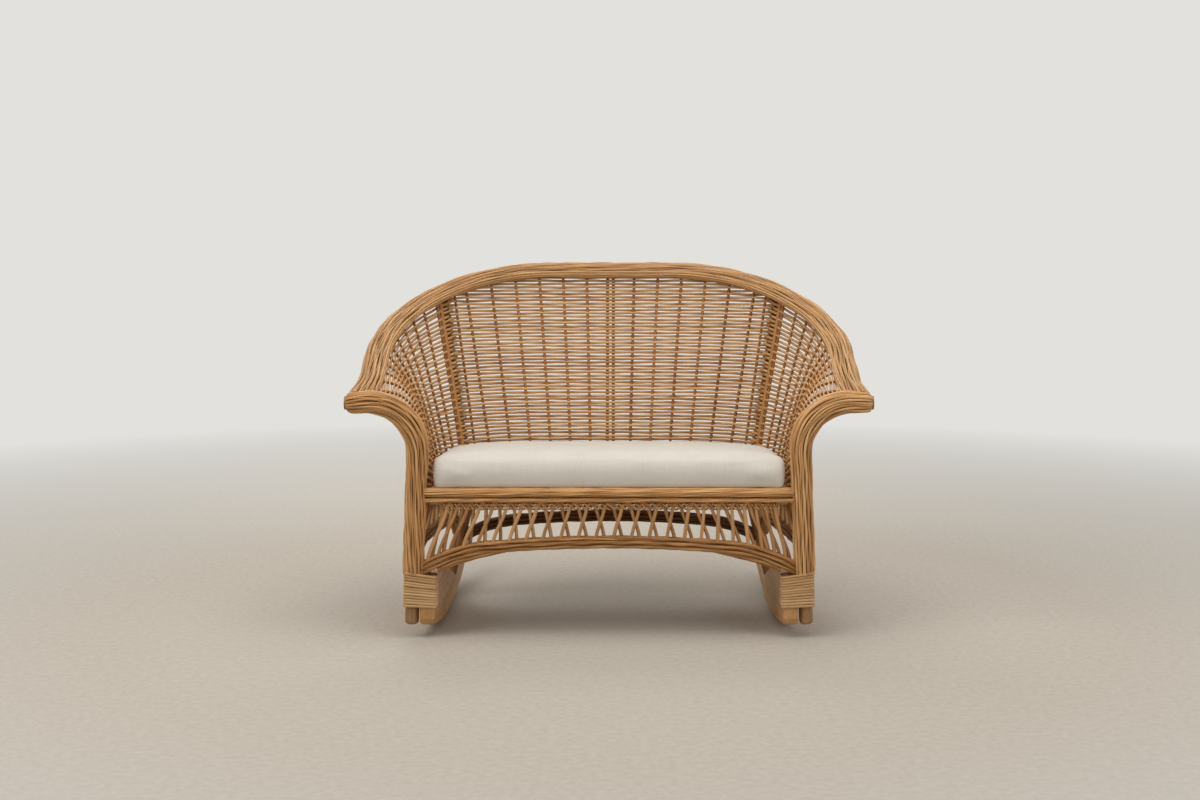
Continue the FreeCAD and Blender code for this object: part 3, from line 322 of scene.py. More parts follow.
def make_strand_tree():
    """Tree that turns centre lines into strands, lifted over and under where the lines say so."""
    tree = bpy.data.node_groups.new("wicker_strands", "GeometryNodeTree")
    inputs = {
        "Centre Lines": "Geometry",
        "Strand Radius": "Float",
        "Flatness": "Float",
        "Sides": "Int",
        "Over and Under": "Float",
        "Finish": "Material",
    }
    for word, kind in inputs.items():
        tree.interface.new_socket(word, in_out="INPUT", socket_type="NodeSocket" + kind)
    tree.interface.new_socket("Strands", in_out="OUTPUT", socket_type="NodeSocketGeometry")
    start = add_node(tree, "NodeGroupInput").outputs

    def step(kind, values=(), **settings):
        return add_node(tree, "GeometryNode" + kind, values, **settings).outputs[0]

    def mark(name, kind):
        return step("InputNamedAttribute", {"Name": name}, data_type=kind)

    over = {0: mark("over_way", "FLOAT_VECTOR"), "Scale": start["Over and Under"]}
    lift = add_node(tree, "ShaderNodeVectorMath", over, operation="SCALE").outputs[0]
    lines = step("SetPosition", {"Geometry": start["Centre Lines"], "Offset": lift})
    lines = step("MeshToCurve", {"Mesh": lines})
    lines = step("SetCurveNormal", {"Curve": lines, "Normal": mark("face_way", "FLOAT_VECTOR")}, mode="FREE")
    ring = step("CurvePrimitiveCircle", {"Resolution": start["Sides"], "Radius": start["Strand Radius"]})
    ring = step("Transform", {"Geometry": ring, "Scale": combine(tree, start["Flatness"], 1.0, 1.0)})
    turn = step("SplineParameter")
    around = math_node(tree, "ABSOLUTE", math_node(tree, "MULTIPLY_ADD", turn, 2.0, -1.0))
    stored = {"Geometry": ring, "Name": "around", "Value": around}
    ring = step("StoreNamedAttribute", stored, data_type="FLOAT", domain="POINT")
    swept = {"Curve": lines, "Profile Curve": ring, "Scale": mark("thick", "FLOAT"), "Fill Caps": True}
    strands = step("SetShadeSmooth", {"Geometry": step("CurveToMesh", swept)})
    strands = step("RealizeInstances", {"Geometry": strands})
    strands = step("SetMaterial", {"Geometry": strands, "Material": start["Finish"]})
    add_node(tree, "NodeGroupOutput", {"Strands": strands})
    return tree


strand_tree = make_strand_tree()


def strand_piece(name, bundle, finish, radius, replaced, sides=7, flatness=1.0, lift=0.0):
    """Dress a bundle with the strand tree and keep the result as a plain mesh that rides on the settee."""
    lines = bpy.data.meshes.new(name + "_lines")
    lines.from_pydata(bundle.points, bundle.edges, [])
    for mark, values in bundle.marks.items():
        lines.attributes.new(mark, "FLOAT", "POINT").data.foreach_set("value", values)
    for way, values in bundle.ways.items():
        flat = [part for value in values for part in value]
        lines.attributes.new(way, "FLOAT_VECTOR", "POINT").data.foreach_set("vector", flat)
    piece = bpy.data.objects.new(name, lines)
    bpy.context.scene.collection.objects.link(piece)
    modifier = piece.modifiers.new("strands", "NODES")
    modifier.node_group = strand_tree
    chosen = {
        "Strand Radius": radius,
        "Flatness": flatness,
        "Sides": sides,
        "Over and Under": lift,
        "Finish": finish,
    }
    for item in strand_tree.interface.items_tree:
        if item.in_out == "INPUT" and item.name in chosen:
            modifier[item.identifier] = chosen[item.name]
    graph = bpy.context.evaluated_depsgraph_get()
    dressed = piece.evaluated_get(graph)
    mesh = bpy.data.meshes.new_from_object(dressed, preserve_all_data_layers=True, depsgraph=graph)
    piece.modifiers.clear()
    piece.data = mesh
    mesh.name = name
    for spare in ("over_way", "face_way", "thick"):
        if spare in mesh.attributes:
            mesh.attributes.remove(mesh.attributes[spare])
    bpy.data.meshes.remove(lines)
    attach(piece, "settee")
    if replaced:
        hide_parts(*replaced)
    return piece


# Shader groups that several finishes share


def new_group(name, inputs, outputs):
    tree = bpy.data.node_groups.new(name, "ShaderNodeTree")
    for word, value in inputs.items():
        socket = tree.interface.new_socket(word, in_out="INPUT", socket_type="NodeSocketFloat")
        socket.default_value = value
    for word in outputs:
        tree.interface.new_socket(word, in_out="OUTPUT", socket_type="NodeSocketFloat")
    return tree, add_node(tree, "NodeGroupInput").outputs


def noise_node(tree, place, scale, detail, **values):
    """Noise value at a place."""
    given = {"Vector": place, "Scale": scale, "Detail": detail, **values}
    return add_node(tree, "ShaderNodeTexNoise", given).outputs["Fac"]


def make_fibre_group():
    """Fibres along a strand, patches along it, and painted shade in the crevices between strands."""
    tree, start = new_group(
        "cane_fibre",
        {"Fibre Length": 28.0, "Fibre Count": 5.0, "Patch Length": 9.0, "Painted Fold Shade": 0.7},
        ("Shade", "Fibre", "Fold"),
    )

    def mark(name):
        return add_node(tree, "ShaderNodeAttribute", attribute_name=name).outputs["Fac"]

    along, around, tone, deep = mark("along"), mark("around"), mark("tone"), mark("deep")
    seed = math_node(tree, "MULTIPLY", tone, 91.7)
    lengthwise = math_node(tree, "MULTIPLY", along, start["Fibre Length"])
    crosswise = math_node(tree, "MULTIPLY", around, start["Fibre Count"])
    fibre = noise_node(tree, combine(tree, lengthwise, crosswise, seed), 1.0, 3.0, Roughness=0.6)
    patches = math_node(tree, "MULTIPLY", along, start["Patch Length"])
    patch = noise_node(tree, combine(tree, patches, seed, 0.5), 1.0, 2.0)
    shade = math_node(tree, "MULTIPLY_ADD", tone, 0.55, -0.02)
    shade = math_node(tree, "MULTIPLY_ADD", math_node(tree, "SUBTRACT", fibre, 0.5), 0.75, shade)
    shade = math_node(tree, "MULTIPLY_ADD", math_node(tree, "SUBTRACT", patch, 0.5), 0.55, shade)
    shade = math_node(tree, "ADD", shade, 0.22)
    # Painted shade: the deep mark darkens a strand where it dives into a crevice between strands.
    painted_fold_shade = math_node(tree, "MULTIPLY", deep, start["Painted Fold Shade"])
    add_node(tree, "NodeGroupOutput", {"Shade": shade, "Fibre": fibre, "Fold": painted_fold_shade})
    return tree


def make_grain_group():
    """Long grain in a wooden or rattan pole, with pores, along the axis whose stretch is small."""
    tree, start = new_group(
        "pole_grain",
        {"Stretch X": 60.0, "Stretch Y": 60.0, "Stretch Z": 60.0, "Wave": 0.35},
        ("Grain", "Pore"),
    )
    place = add_node(tree, "ShaderNodeTexCoord").outputs["Object"]
    stretch = combine(tree, start["Stretch X"], start["Stretch Y"], start["Stretch Z"])
    spread = add_node(tree, "ShaderNodeVectorMath", {0: place, 1: stretch}, operation="MULTIPLY").outputs[0]
    broad = noise_node(tree, spread, 0.6, 2.0)
    fine = noise_node(tree, spread, 3.5, 4.0, Roughness=0.65, Distortion=start["Wave"])
    grain = math_node(tree, "MULTIPLY_ADD", fine, 0.6, math_node(tree, "MULTIPLY", broad, 0.4))
    pores = noise_node(tree, spread, 9.0, 2.0)
    pore = add_node(tree, "ShaderNodeMapRange", {"Value": pores, 1: 0.58, 2: 0.72}).outputs[0]
    add_node(tree, "NodeGroupOutput", {"Grain": grain, "Pore": pore})
    return tree


fibre_group = make_fibre_group()
grain_group = make_grain_group()


def hue(red, green, blue):
    """Screen colour, 0 to 255, as a linear colour."""

    def linear(value):
        value /= 255
        return value / 12.92 if value <= 0.04045 else ((value + 0.055) / 1.055) ** 2.4

    return linear(red), linear(green), linear(blue), 1.0


def new_finish(name, rough, gloss=0.4):
    finish = bpy.data.materials.new(name)
    finish.use_nodes = True
    tree = finish.node_tree
    shader = tree.nodes["Principled BSDF"]
    shader.inputs["Roughness"].default_value = rough
    shader.inputs["Specular IOR Level"].default_value = gloss
    return finish, tree, shader


def colour_ramp(tree, value, stops):
    """Colour by value; each stop has its spot and its screen colour."""
    ramp = add_node(tree, "ShaderNodeValToRGB", {"Fac": value})
    points = ramp.color_ramp.elements
    while len(points) < len(stops):
        points.new(0.5)
    for point, (spot, colour) in zip(points, stops):
        point.position = spot
        point.color = hue(*colour)
    return ramp.outputs["Color"]


FINE_DENT = 0.001


def dress(tree, shader, colour, pore_and_shade_mask, pore_and_shade_tint, relief, bump, rough_low, rough_high):
    """Darken a colour by a given share, which is painted shade in the crevices of cane and real pores in
    poles, and let one relief make the dents and the dry spots.
    """
    mixed = {0: pore_and_shade_mask, 6: colour, 7: pore_and_shade_tint}
    mix = add_node(tree, "ShaderNodeMix", mixed, data_type="RGBA", blend_type="MULTIPLY")
    dents = add_node(tree, "ShaderNodeBump", {"Height": relief, "Strength": bump, "Distance": FINE_DENT})
    dry = add_node(tree, "ShaderNodeMapRange", {"Value": relief, 3: rough_low, 4: rough_high})
    made = {"Base Color": mix.outputs[2], "Normal": dents.outputs[0], "Roughness": dry.outputs[0]}
    set_inputs(tree, shader, made)


def cane_finish(name, dark, middle, light, painted_fold_shade=0.75, fibres=5.0):
    """Peeled cane or reed: fibres along the strand, uneven tone, painted shade in the crevices."""
    rough = 0.55
    finish, tree, shader = new_finish(name, rough, 0.35)
    group = add_node(tree, "ShaderNodeGroup", node_tree=fibre_group)
    set_inputs(tree, group, {"Fibre Count": fibres, "Painted Fold Shade": painted_fold_shade})
    shade, fibre, crevice_shade = group.outputs["Shade"], group.outputs["Fibre"], group.outputs["Fold"]
    colour = colour_ramp(tree, shade, [(0.0, dark), (0.48, middle), (1.0, light)])
    # The dark brown that dress lays over the crevices is painted shade.
    dress(tree, shader, colour, crevice_shade, (0.20, 0.13, 0.08, 1.0), fibre, 0.25, rough + 0.1, rough - 0.08)
    return finish


def pole_finish(name, dark, middle, light, stretch, rough=0.5):
    """Wood or rattan pole with grain along one axis."""
    finish, tree, shader = new_finish(name, rough, 0.4)
    group = add_node(tree, "ShaderNodeGroup", node_tree=grain_group)
    for axis, value in zip("XYZ", stretch):
        group.inputs["Stretch " + axis].default_value = value
    grain, pore = group.outputs["Grain"], group.outputs["Pore"]
    colour = colour_ramp(tree, grain, [(0.30, dark), (0.5, middle), (0.72, light)])
    dress(tree, shader, colour, pore, (0.62, 0.52, 0.44, 1.0), grain, 0.15, rough + 0.12, rough - 0.1)
    return finish


def steel_finish():
    """Bright screws and nails with fine turning marks."""
    finish, tree, shader = new_finish("bright_steel", 0.35, 0.5)
    place = add_node(tree, "ShaderNodeTexCoord").outputs["Object"]
    marks = noise_node(tree, place, 900.0, 2.0)
    colour = colour_ramp(tree, marks, [(0.3, (150, 150, 150)), (0.7, (190, 190, 188))])
    rough = add_node(tree, "ShaderNodeMapRange", {"Value": marks, 3: 0.28, 4: 0.46}).outputs[0]
    set_inputs(tree, shader, {"Metallic": 1.0, "Base Color": colour, "Roughness": rough})
    return finish


THREAD_WAVES = 4800.0
SLUB_FINE = 420.0
SLUB_LONG = 18.0


def linen_finish():
    """Plain off-white linen: crossed threads with slubs, on the cushion's own thread map."""
    finish, tree, shader = new_finish("cushion_linen", 0.85, 0.2)
    threads = add_node(tree, "ShaderNodeUVMap", uv_map="threads").outputs[0]
    parts = add_node(tree, "ShaderNodeSeparateXYZ", {0: threads}).outputs
    warp = math_node(tree, "SINE", math_node(tree, "MULTIPLY", parts[0], THREAD_WAVES))
    weft = math_node(tree, "SINE", math_node(tree, "MULTIPLY", parts[1], THREAD_WAVES))
    crossing = math_node(tree, "MULTIPLY", warp, weft)

    def slubs(scale):
        place = add_node(tree, "ShaderNodeMapping", {"Vector": threads, "Scale": scale}).outputs[0]
        return noise_node(tree, place, 1.0, 3.0)

    both = math_node(tree, "ADD", slubs((SLUB_LONG, SLUB_FINE, 1.0)), slubs((SLUB_FINE, SLUB_LONG, 1.0)))
    cloudy = math_node(tree, "MULTIPLY", noise_node(tree, threads, 9.0, 2.0), 0.25)
    value = math_node(tree, "MULTIPLY_ADD", both, 0.38, cloudy)
    value = math_node(tree, "MULTIPLY_ADD", crossing, 0.035, value)
    stops = [(0.30, (202, 197, 186)), (0.52, (212, 208, 199)), (0.75, (220, 217, 209))]
    colour = colour_ramp(tree, value, stops)
    height = math_node(tree, "MULTIPLY_ADD", crossing, 0.5, both)
    dents = add_node(tree, "ShaderNodeBump", {"Height": height, "Strength": 0.06, "Distance": FINE_DENT})
    given = {"Sheen Weight": 0.15, "Sheen Roughness": 0.5, "Base Color": colour, "Normal": dents.outputs[0]}
    set_inputs(tree, shader, given)
    return finish


UPRIGHT = (110, 110, 5)
rim_finish = cane_finish("rim_cane", (150, 104, 58), (190, 145, 94), (224, 186, 134))
roll_finish = cane_finish("arm_cane", (160, 112, 62), (206, 155, 99), (238, 198, 143))
weaver_finish = cane_finish("weaver_cane", (152, 104, 56), (194, 148, 95), (222, 184, 130), painted_fold_shade=0.55)
stake_finish = cane_finish("stake_cane", (116, 70, 30), (156, 102, 50), (182, 130, 76), painted_fold_shade=0.5)
rail_finish = cane_finish("rail_cane", (165, 115, 63), (208, 156, 99), (240, 196, 139))
arch_finish = cane_finish("arch_cane", (132, 88, 44), (172, 122, 70), (212, 165, 109))
# Rear arch: dark colour that is painted shade under the seat
shaded_rear_finish = cane_finish("rear_cane_painted_shade", (74, 47, 23), (110, 74, 43), (143, 103, 65))
reed_finish = cane_finish("lattice_reed", (151, 104, 58), (192, 143, 91), (222, 178, 125), fibres=4.0)
binding_finish = cane_finish("binding_cane", (160, 120, 76), (196, 156, 108), (222, 188, 142), fibres=8.0)
runner_finish = pole_finish("runner_wood", (158, 109, 60), (190, 143, 89), (210, 166, 112), (90, 4, 60))
# Front posts: own rattan colour, darkened by painted shade for the feet
shaded_post_finish = pole_finish("post_rattan_darkened_for_shade", (126, 89, 53), (157, 119, 79), (180, 144, 104), UPRIGHT)
leg_finish = pole_finish("leg_rattan", (120, 82, 44), (158, 114, 68), (188, 146, 98), UPRIGHT)
# Back posts: dark colour that is painted shade between the weavers
shaded_strip_finish = pole_finish("strip_rattan_painted_shade", (70, 42, 18), (104, 66, 34), (140, 98, 58), UPRIGHT)
hoop_finish = pole_finish("hoop_rattan", (142, 100, 58), (180, 136, 88), (204, 164, 116), (30, 30, 110))
# Rear stretcher and strut: dark colour that is painted shade under the seat
shaded_cross_finish = pole_finish("cross_rattan_painted_shade", (60, 38, 18), (88, 58, 30), (116, 82, 48), (5, 110, 110))
slat_finish = pole_finish("slat_wood", (176, 140, 98), (206, 172, 128), (226, 198, 158), (70, 3, 70), 0.6)
ledger_finish = pole_finish("ledger_wood", (176, 140, 98), (206, 172, 128), (226, 198, 158), (3, 70, 70), 0.6)
screw_finish = steel_finish()
linen = linen_finish()


def paint(finish, *names):
    """Give a node of the construction its finish."""
    for name in names:
        slots = nodes[name].data.materials
        slots.clear()
        slots.append(finish)


# Rolls: strands laid side by side round a path

# A lay says how strands lie: turns per metre, sway, depth of their dives, length of their waves
RIM_LAY = (0.20, 0.30, 0.0012, 0.15)
ARM_TWIST = 0.24
ARM_LAY = (0.30, 0.0011, 0.14)
UPPER_LAY = (0.12, 0.35, 0.0005, 0.13)
LOWER_LAY = (-0.3, 0.25, 0.0005, 0.10)
ARCH_LAY = (0.35, 0.25, 0.0007, 0.09)
BRACE_LAY = (0.3, 0.25, 0.0005, 0.09)
DRIFT_RATE = 5.0  # wandering of a strand, per metre
DRIFT_TURN = 1.5
DRIFT_SIDE = 0.35
# Painted shade on a strand where it dives under its neighbours
PAINTED_FOLD_SHADE = 0.32
# Tone of the filling strands, dark as painted shade
SHADED_FILL_TONE = 0.15


def ellipse_angles(wide, high, count=240):
    """Angles at even steps along an ellipse's edge."""
    marks = [0.0]
    for i in range(count):
        first, second = 2 * math.pi * i / count, 2 * math.pi * (i + 1) / count
        across = wide * (math.cos(second) - math.cos(first))
        marks.append(marks[-1] + math.hypot(across, high * (math.sin(second) - math.sin(first))))
    return marks


def edge_angle(marks, share):
    """Angle at a share of an ellipse's edge."""
    count = len(marks) - 1
    turns = math.floor(share)
    goal = (share - turns) * marks[-1]
    low = min(count, bisect.bisect_right(marks, goal)) - 1
    part = (goal - marks[low]) / max(1e-12, marks[low + 1] - marks[low])
    return 2 * math.pi * (turns + (low + part) / count)


def wind_roll(bundle, path, count, wide, high, radius, chance, twist, sway, dive, wave, keep=None):
    """Lay strands round a path of (point, out, up, distance, size); neighbours dive under in turn."""
    marks = ellipse_angles(wide - radius, high - radius)
    for number in range(count):
        phase = number * math.pi + chance.uniform(-0.8, 0.8)
        length = wave * chance.uniform(0.8, 1.25)
        start = chance.uniform(0, 40)
        tone = chance.random()
        line, ways, thick, deep = [], [], [], []
        for point, out, up, gone, size in path:
            drift = noise.noise(Vector((gone * DRIFT_RATE, start, 3.1)))
            turn = 2 * math.pi * gone / length + phase + DRIFT_TURN * drift
            share = (number + sway * math.sin(turn + 1.2) + DRIFT_SIDE * drift) / count + twist * gone
            angle = edge_angle(marks, share)
            sunk = dive * math.sin(turn)
            reach_out = (wide - radius + sunk) * size
            reach_up = (high - radius + sunk) * size
            spot = point + (out * (reach_out * math.cos(angle)) + up * (reach_up * math.sin(angle)))
            if keep and not keep(spot):
                continue
            line.append(spot)
            ways.append((out * (math.cos(angle) * high) + up * (math.sin(angle) * wide)).normalized())
            thick.append((1.0 + 0.12 * math.sin(turn) + 0.08 * drift) * (0.45 + 0.55 * size))
            # painted shade, deepest where the strand dives
            deep.append(PAINTED_FOLD_SHADE * (0.5 - 0.5 * math.sin(turn)) ** 1.5)
        if len(line) > 2:
            bundle.add(line, ways, tone, thick, deep)


def fill_roll(bundle, path, count, wide, high, thick, keep=None):
    """Filling strands inside a roll, so that no light shows through it; their dark colour is painted shade
    for the gaps between the outer strands.
    """
    for number in range(count):
        angle = 2 * math.pi * (number + 0.5) / count
        line, ways = [], []
        for point, out, up, _, size in path:
            spot = point + out * (wide * size * math.cos(angle)) + up * (high * size * math.sin(angle))
            if keep and not keep(spot):
                continue
            line.append(spot)
            ways.append((out * math.cos(angle) + up * math.sin(angle)).normalized())
        # low tone and full deep: painted shade seen between the outer strands
        bundle.add(line, ways, SHADED_FILL_TONE, thick, 1.0)


def path_along(points, out_of, size_of=None):
    """Turn a chain of points into a path for a roll; out_of gives its directions from the tangent."""
    path = []
    gone = 0.0
    for i, point in enumerate(points):
        ahead = points[min(i + 1, len(points) - 1)] - points[max(i - 1, 0)]
        ahead.normalize()
        if i:
            gone += (point - points[i - 1]).length
        out, up = out_of(ahead)
        path.append((point, out, up, gone, 1.0))
    if size_of:
        path = [(p, o, u, g, size_of(gone - g)) for p, o, u, g, _ in path]
    return path


def mirrored(vector):
    return Vector((-vector.x, vector.y, vector.z))


# Rim over arms and back

STRAND_STEP = 0.0095
RIM_STRANDS = 26
RIM_STRAND = 0.0029
RIM_FLARE = 0.014
FLARE_LENGTH = 0.13
FLARE_SWELL = 0.22
RIM_BORDER = ((0.0085, 0.0272), (0.0028, 0.0294), (-0.0028, 0.0294))  # rise and reach of the inner canes


def rim_path():
    """Path of the rim from the left arm round the back to the right arm."""
    half = [on_rim(*hoop_point(i / 100, *RIM_SHAPE)) for i in range(201)]
    whole = half + [mirrored(point) for point in reversed(half[:-1])]
    normal = on_rim(0, 0, 1) - on_rim(0, 0)
    return path_along(resample(whole, STRAND_STEP), lambda ahead: (normal.cross(ahead).normalized(), normal))


def clear_of_arm(spot):
    """True outside the arm roll."""
    if abs(spot.x) < post_x(0.4) + 0.02:
        return True
    return math.hypot(spot.y - FRONT_Y, spot.z - ARM_HEIGHT) > ROLL_ACROSS / 2 - 0.004


def make_rim():
    bundle = Bundle()
    chance = random.Random(11)
    path = rim_path()
    total = path[-1][3]
    flared = []
    for point, out, up, gone, size in path:
        near = smooth(1 - min(gone, total - gone) / FLARE_LENGTH) ** 1.5
        flared.append((point + out * (RIM_FLARE * near), out, up, gone, size + FLARE_SWELL * near))
    wide, high = RIM_WIDE / 2, RIM_THICK / 2
    wind_roll(bundle, flared, RIM_STRANDS, wide, high, RIM_STRAND, chance, *RIM_LAY, clear_of_arm)
    fill_roll(bundle, flared, 9, wide * 0.62, high * 0.48, 2.7, clear_of_arm)
    for rise, reach in RIM_BORDER:
        tone = chance.uniform(0.55, 0.9)
        line, ways = [], []
        for point, out, up, gone, _ in flared:
            wobble = 0.0012 * noise.noise(Vector((gone * 7, rise * 900, 1.7)))
            spot = point - out * (reach + wobble) + up * (rise + wobble)
            if clear_of_arm(spot):
                line.append(spot)
                ways.append(-out)
        # the last number is a little painted shade
        bundle.add(line, ways, tone, 0.95, 0.05)
    strand_piece("rim_strands", bundle, rim_finish, RIM_STRAND, ["rim_roll"])


# Arm and post rolls

ROLL_STRANDS = 30
ROLL_STRAND = 0.0025
NOSE_LENGTH = 0.022
BEND_SHIFT = 0.004
BEND_SWELL = 0.14


def arm_line(side):
    """Chain up the post, round the bend and out to the arm's tip."""
    bend_x, bend_z = ARM_TIP - ARM_FLAT, ARM_HEIGHT - ARM_BEND
    chain = [Vector((side * post_x(ROLL_BOTTOM), FRONT_Y, ROLL_BOTTOM))]
    first = math.pi + POST_SPLAY
    for i in range(25):
        angle = lerp(first, math.pi / 2, i / 24)
        x = bend_x + ARM_BEND * math.cos(angle)
        chain.append(Vector((side * x, FRONT_Y, bend_z + ARM_BEND * math.sin(angle))))
    chain.append(Vector((side * (ARM_TIP - 0.001), FRONT_Y, ARM_HEIGHT)))
    return resample(chain, 0.008)


def nose_size(left):
    """Size of the arm roll by the length left to its tip, which is rounded."""
    if left > NOSE_LENGTH:
        return 1.0
    return 0.42 + 0.58 * math.sqrt(max(0.0, 1 - (1 - left / NOSE_LENGTH) ** 2))


def make_arm_roll(word, side):
    bundle = Bundle()
    chance = random.Random(21 + side)
    plain = path_along(arm_line(side), lambda ahead: (BACK, ahead.cross(BACK).normalized()), nose_size)
    bend_centre = Vector((side * (ARM_TIP - ARM_FLAT), FRONT_Y, ARM_HEIGHT - ARM_BEND))
    path = []
    for point, out, up, gone, size in plain:
        away = point - bend_centre
        turn = math.atan2(away.z, -side * away.x) / (math.pi / 2)
        swell = smooth(1 - abs(turn - 0.5) / 0.85)
        shifted = point + away.normalized() * (BEND_SHIFT * swell)
        path.append((shifted, out, up, gone, size + BEND_SWELL * swell))
    around = ROLL_ACROSS / 2
    wind_roll(bundle, path, ROLL_STRANDS, around, around, ROLL_STRAND, chance, side * ARM_TWIST, *ARM_LAY)
    fill_roll(bundle, path, 11, around * 0.68, around * 0.68, 2.5)
    strand_piece(word + "_arm_strands", bundle, roll_finish, ROLL_STRAND, [word + "_arm_roll"])


# Front rail: a broad roll with a slim one below it

RAIL_STRAND = 0.0019
LOW_RAIL_STRAND = 0.0020
UPPER_RISE = 0.0064
LOWER_DROP = 0.0116


def rail_path(height, half):
    ends = [Vector((-half, FRONT_Y, height)), Vector((half, FRONT_Y, height))]
    return path_along(resample(ends, 0.010), lambda ahead: (BACK, UP))


def make_front_rail():
    bundle = Bundle()
    chance = random.Random(31)
    half = post_x(RAIL_HEIGHT) - ROLL_ACROSS / 2 + 0.003
    deep = RAIL_ACROSS / 2
    upper = rail_path(RAIL_HEIGHT + UPPER_RISE, half)
    lower = rail_path(RAIL_HEIGHT - LOWER_DROP, half)
    wind_roll(bundle, upper, 24, deep, 0.0114, RAIL_STRAND, chance, *UPPER_LAY)
    fill_roll(bundle, upper, 5, 0.0095, 0.004, 2.9)
    wind_roll(bundle, lower, 15, deep * 0.9, 0.0056, LOW_RAIL_STRAND, chance, *LOWER_LAY)
    fill_roll(bundle, lower, 2, 0.006, 0.001, 1.7)
    strand_piece("front_rail_strands", bundle, rail_finish, RAIL_STRAND, ["front_seat_rail"])


# Arches: three slim rolls lying together, and on the front arch a brace under each end

ARCH_STRAND = 0.0023
ARCH_ROLLS = ((0.0098, 0.0052, 0.86), (0.0, 0.0056, 1.0), (-0.0098, 0.0052, 0.86))  # rise, height, width
ARCH_UNDER = 0.0205
HORN_INNER = 0.426


def make_arch(name, points, node, finish, seed, braced=False):
    bundle = Bundle()
    chance = random.Random(seed)
    level = points[-1] - points[0]
    level.z = 0
    through = UP.cross(level).normalized()
    base = path_along(resample(points, 0.009), lambda ahead: (through, ahead.cross(through).normalized()))
    for rise, high, width in ARCH_ROLLS:
        path = [(p + u * rise, o, u, g, s) for p, o, u, g, s in base]
        wide = ARCH_ACROSS / 2 * width
        wind_roll(bundle, path, 14, wide, high, ARCH_STRAND * 0.95, chance, *ARCH_LAY)
        fill_roll(bundle, path, 2, wide * 0.42, 0.001, 1.7)
    if braced:
        total = base[-1][3]
        under = []
        for p, o, u, g, s in base:
            grown = smooth(1.6 - 5.2 * min(g, total - g) / total)
            under.append((p - u * lerp(0.006, ARCH_UNDER, grown), o, u, g, s * lerp(0.5, 1.0, grown)))
        for half in (under[: len(under) // 2], under[len(under) // 2 :]):
            low = [mark for mark in half if mark[4] > 0.52 and abs(mark[0].x) < HORN_INNER]
            wind_roll(bundle, low, 12, 0.0105, 0.0062, ARCH_STRAND * 0.9, chance, *BRACE_LAY)
    strand_piece(name, bundle, finish, ARCH_STRAND, [node])


# Weave: a sheet of stakes and weavers between the seat hoop and the rim

STAKE = 0.0040
WEAVER = 0.0036
WEAVE_LIFT = 0.0032
STAKE_PROUD = 0.0010


class Sheet:
    """The woven surface on a grid: across in stake counts, up from hoop (0) to rim (1)."""

    def __init__(self, share_low, share_top, last, facing, step=0.125, rows=44, over=1.06):
        self.step, self.over, self.rows, self.facing = step, over, rows, facing
        self.columns = []
        for i in range(round(last / step) + 1):
            across = i * step
            controls = weave_profile(share_low(across), share_top(across))
            self.columns.append([weave_point(controls, over * j / rows) for j in range(rows + 1)])

    def at(self, across, part):
        u = across / self.step
        v = part / self.over * self.rows
        i = min(len(self.columns) - 2, max(0, int(u)))
        j = min(self.rows - 1, max(0, int(v)))
        left = lerp(self.columns[i][j], self.columns[i][j + 1], v - j)
        right = lerp(self.columns[i + 1][j], self.columns[i + 1][j + 1], v - j)
        return lerp(left, right, u - i)

    def inward(self, across, part):
        """Direction off the surface towards the sitter."""
        over = self.at(across + 0.1, part) - self.at(across - 0.1, part)
        up = self.at(across, part + 0.02) - self.at(across, part - 0.02)
        return over.cross(up).normalized() * self.facing

    def part_at_height(self, across, height):
        low, high = 0.0, self.over
        if self.at(across, high).z < height:
            return None
        for _ in range(18):
            middle = (low + high) / 2
            if self.at(across, middle).z < height:
                low = middle
            else:
                high = middle
        return low


RIM_STAKE_STEP = 0.0677
HOOP_STAKE_STEP = 0.0532
BACK_STAKES = 6
BACK_PITCH = 0.0091
WING_STAKES = 11
WING_ROWS = 45
WING_CLIMB = 1.12  # above 1, the wing's rows lie closer near the seat
WING_PITCH = 0.0096  # row height where the wing's weavers have their full thickness
EDGE_STAKE = 0.26
FINE = 7  # points of a weaver from stake to stake
STAKE_PARTS = [i / 46 * 1.05 for i in range(47)]
UNDER_SHADE = 0.30  # painted shade on a weaver behind a stake
POST_SHADE = 0.5  # painted shade on a weaver at the back posts
# Where the painted shade at the back posts begins, in stake counts
BACK_SHADE_FROM = 6.75
WING_SHADE_FROM = 11.45
BACK_EDGE_STAKE = 0.72
CENTRE_HALF = 0.5


def stake_share(shape, apart):
    """Share of a horseshoe by stake count: even steps up to the last stake, then to the back post."""

    def share(across):
        last = back_share(BACK_STAKES * apart, shape)
        if across > BACK_STAKES:
            return lerp(last, 1.0, across - BACK_STAKES)
        return back_share(across * apart, shape)

    return share


def weave_stake(bundle, found, chance, thick, tone=None):
    """One upright stake along found points and inward directions; it bows slightly between the weavers."""
    line = []
    seed = chance.uniform(0, 50)
    for spot, way in found:
        sway = 0.0008 * noise.noise(Vector((spot.z * 14, seed, 0.3)))
        line.append(spot + way * (sway + STAKE_PROUD))
    # the last number is a little painted shade
    bundle.add(line, [way for _, way in found], chance.random() if tone is None else tone, thick, 0.12)


def weave_pieces(word, weavers, stakes, replaced, lift):
    """Weavers and stakes of one panel; the weavers stand for its solids."""
    strand_piece(word + "_weavers", weavers, weaver_finish, WEAVER, replaced, sides=8, lift=lift)
    strand_piece(word + "_stakes", stakes, stake_finish, STAKE, [])


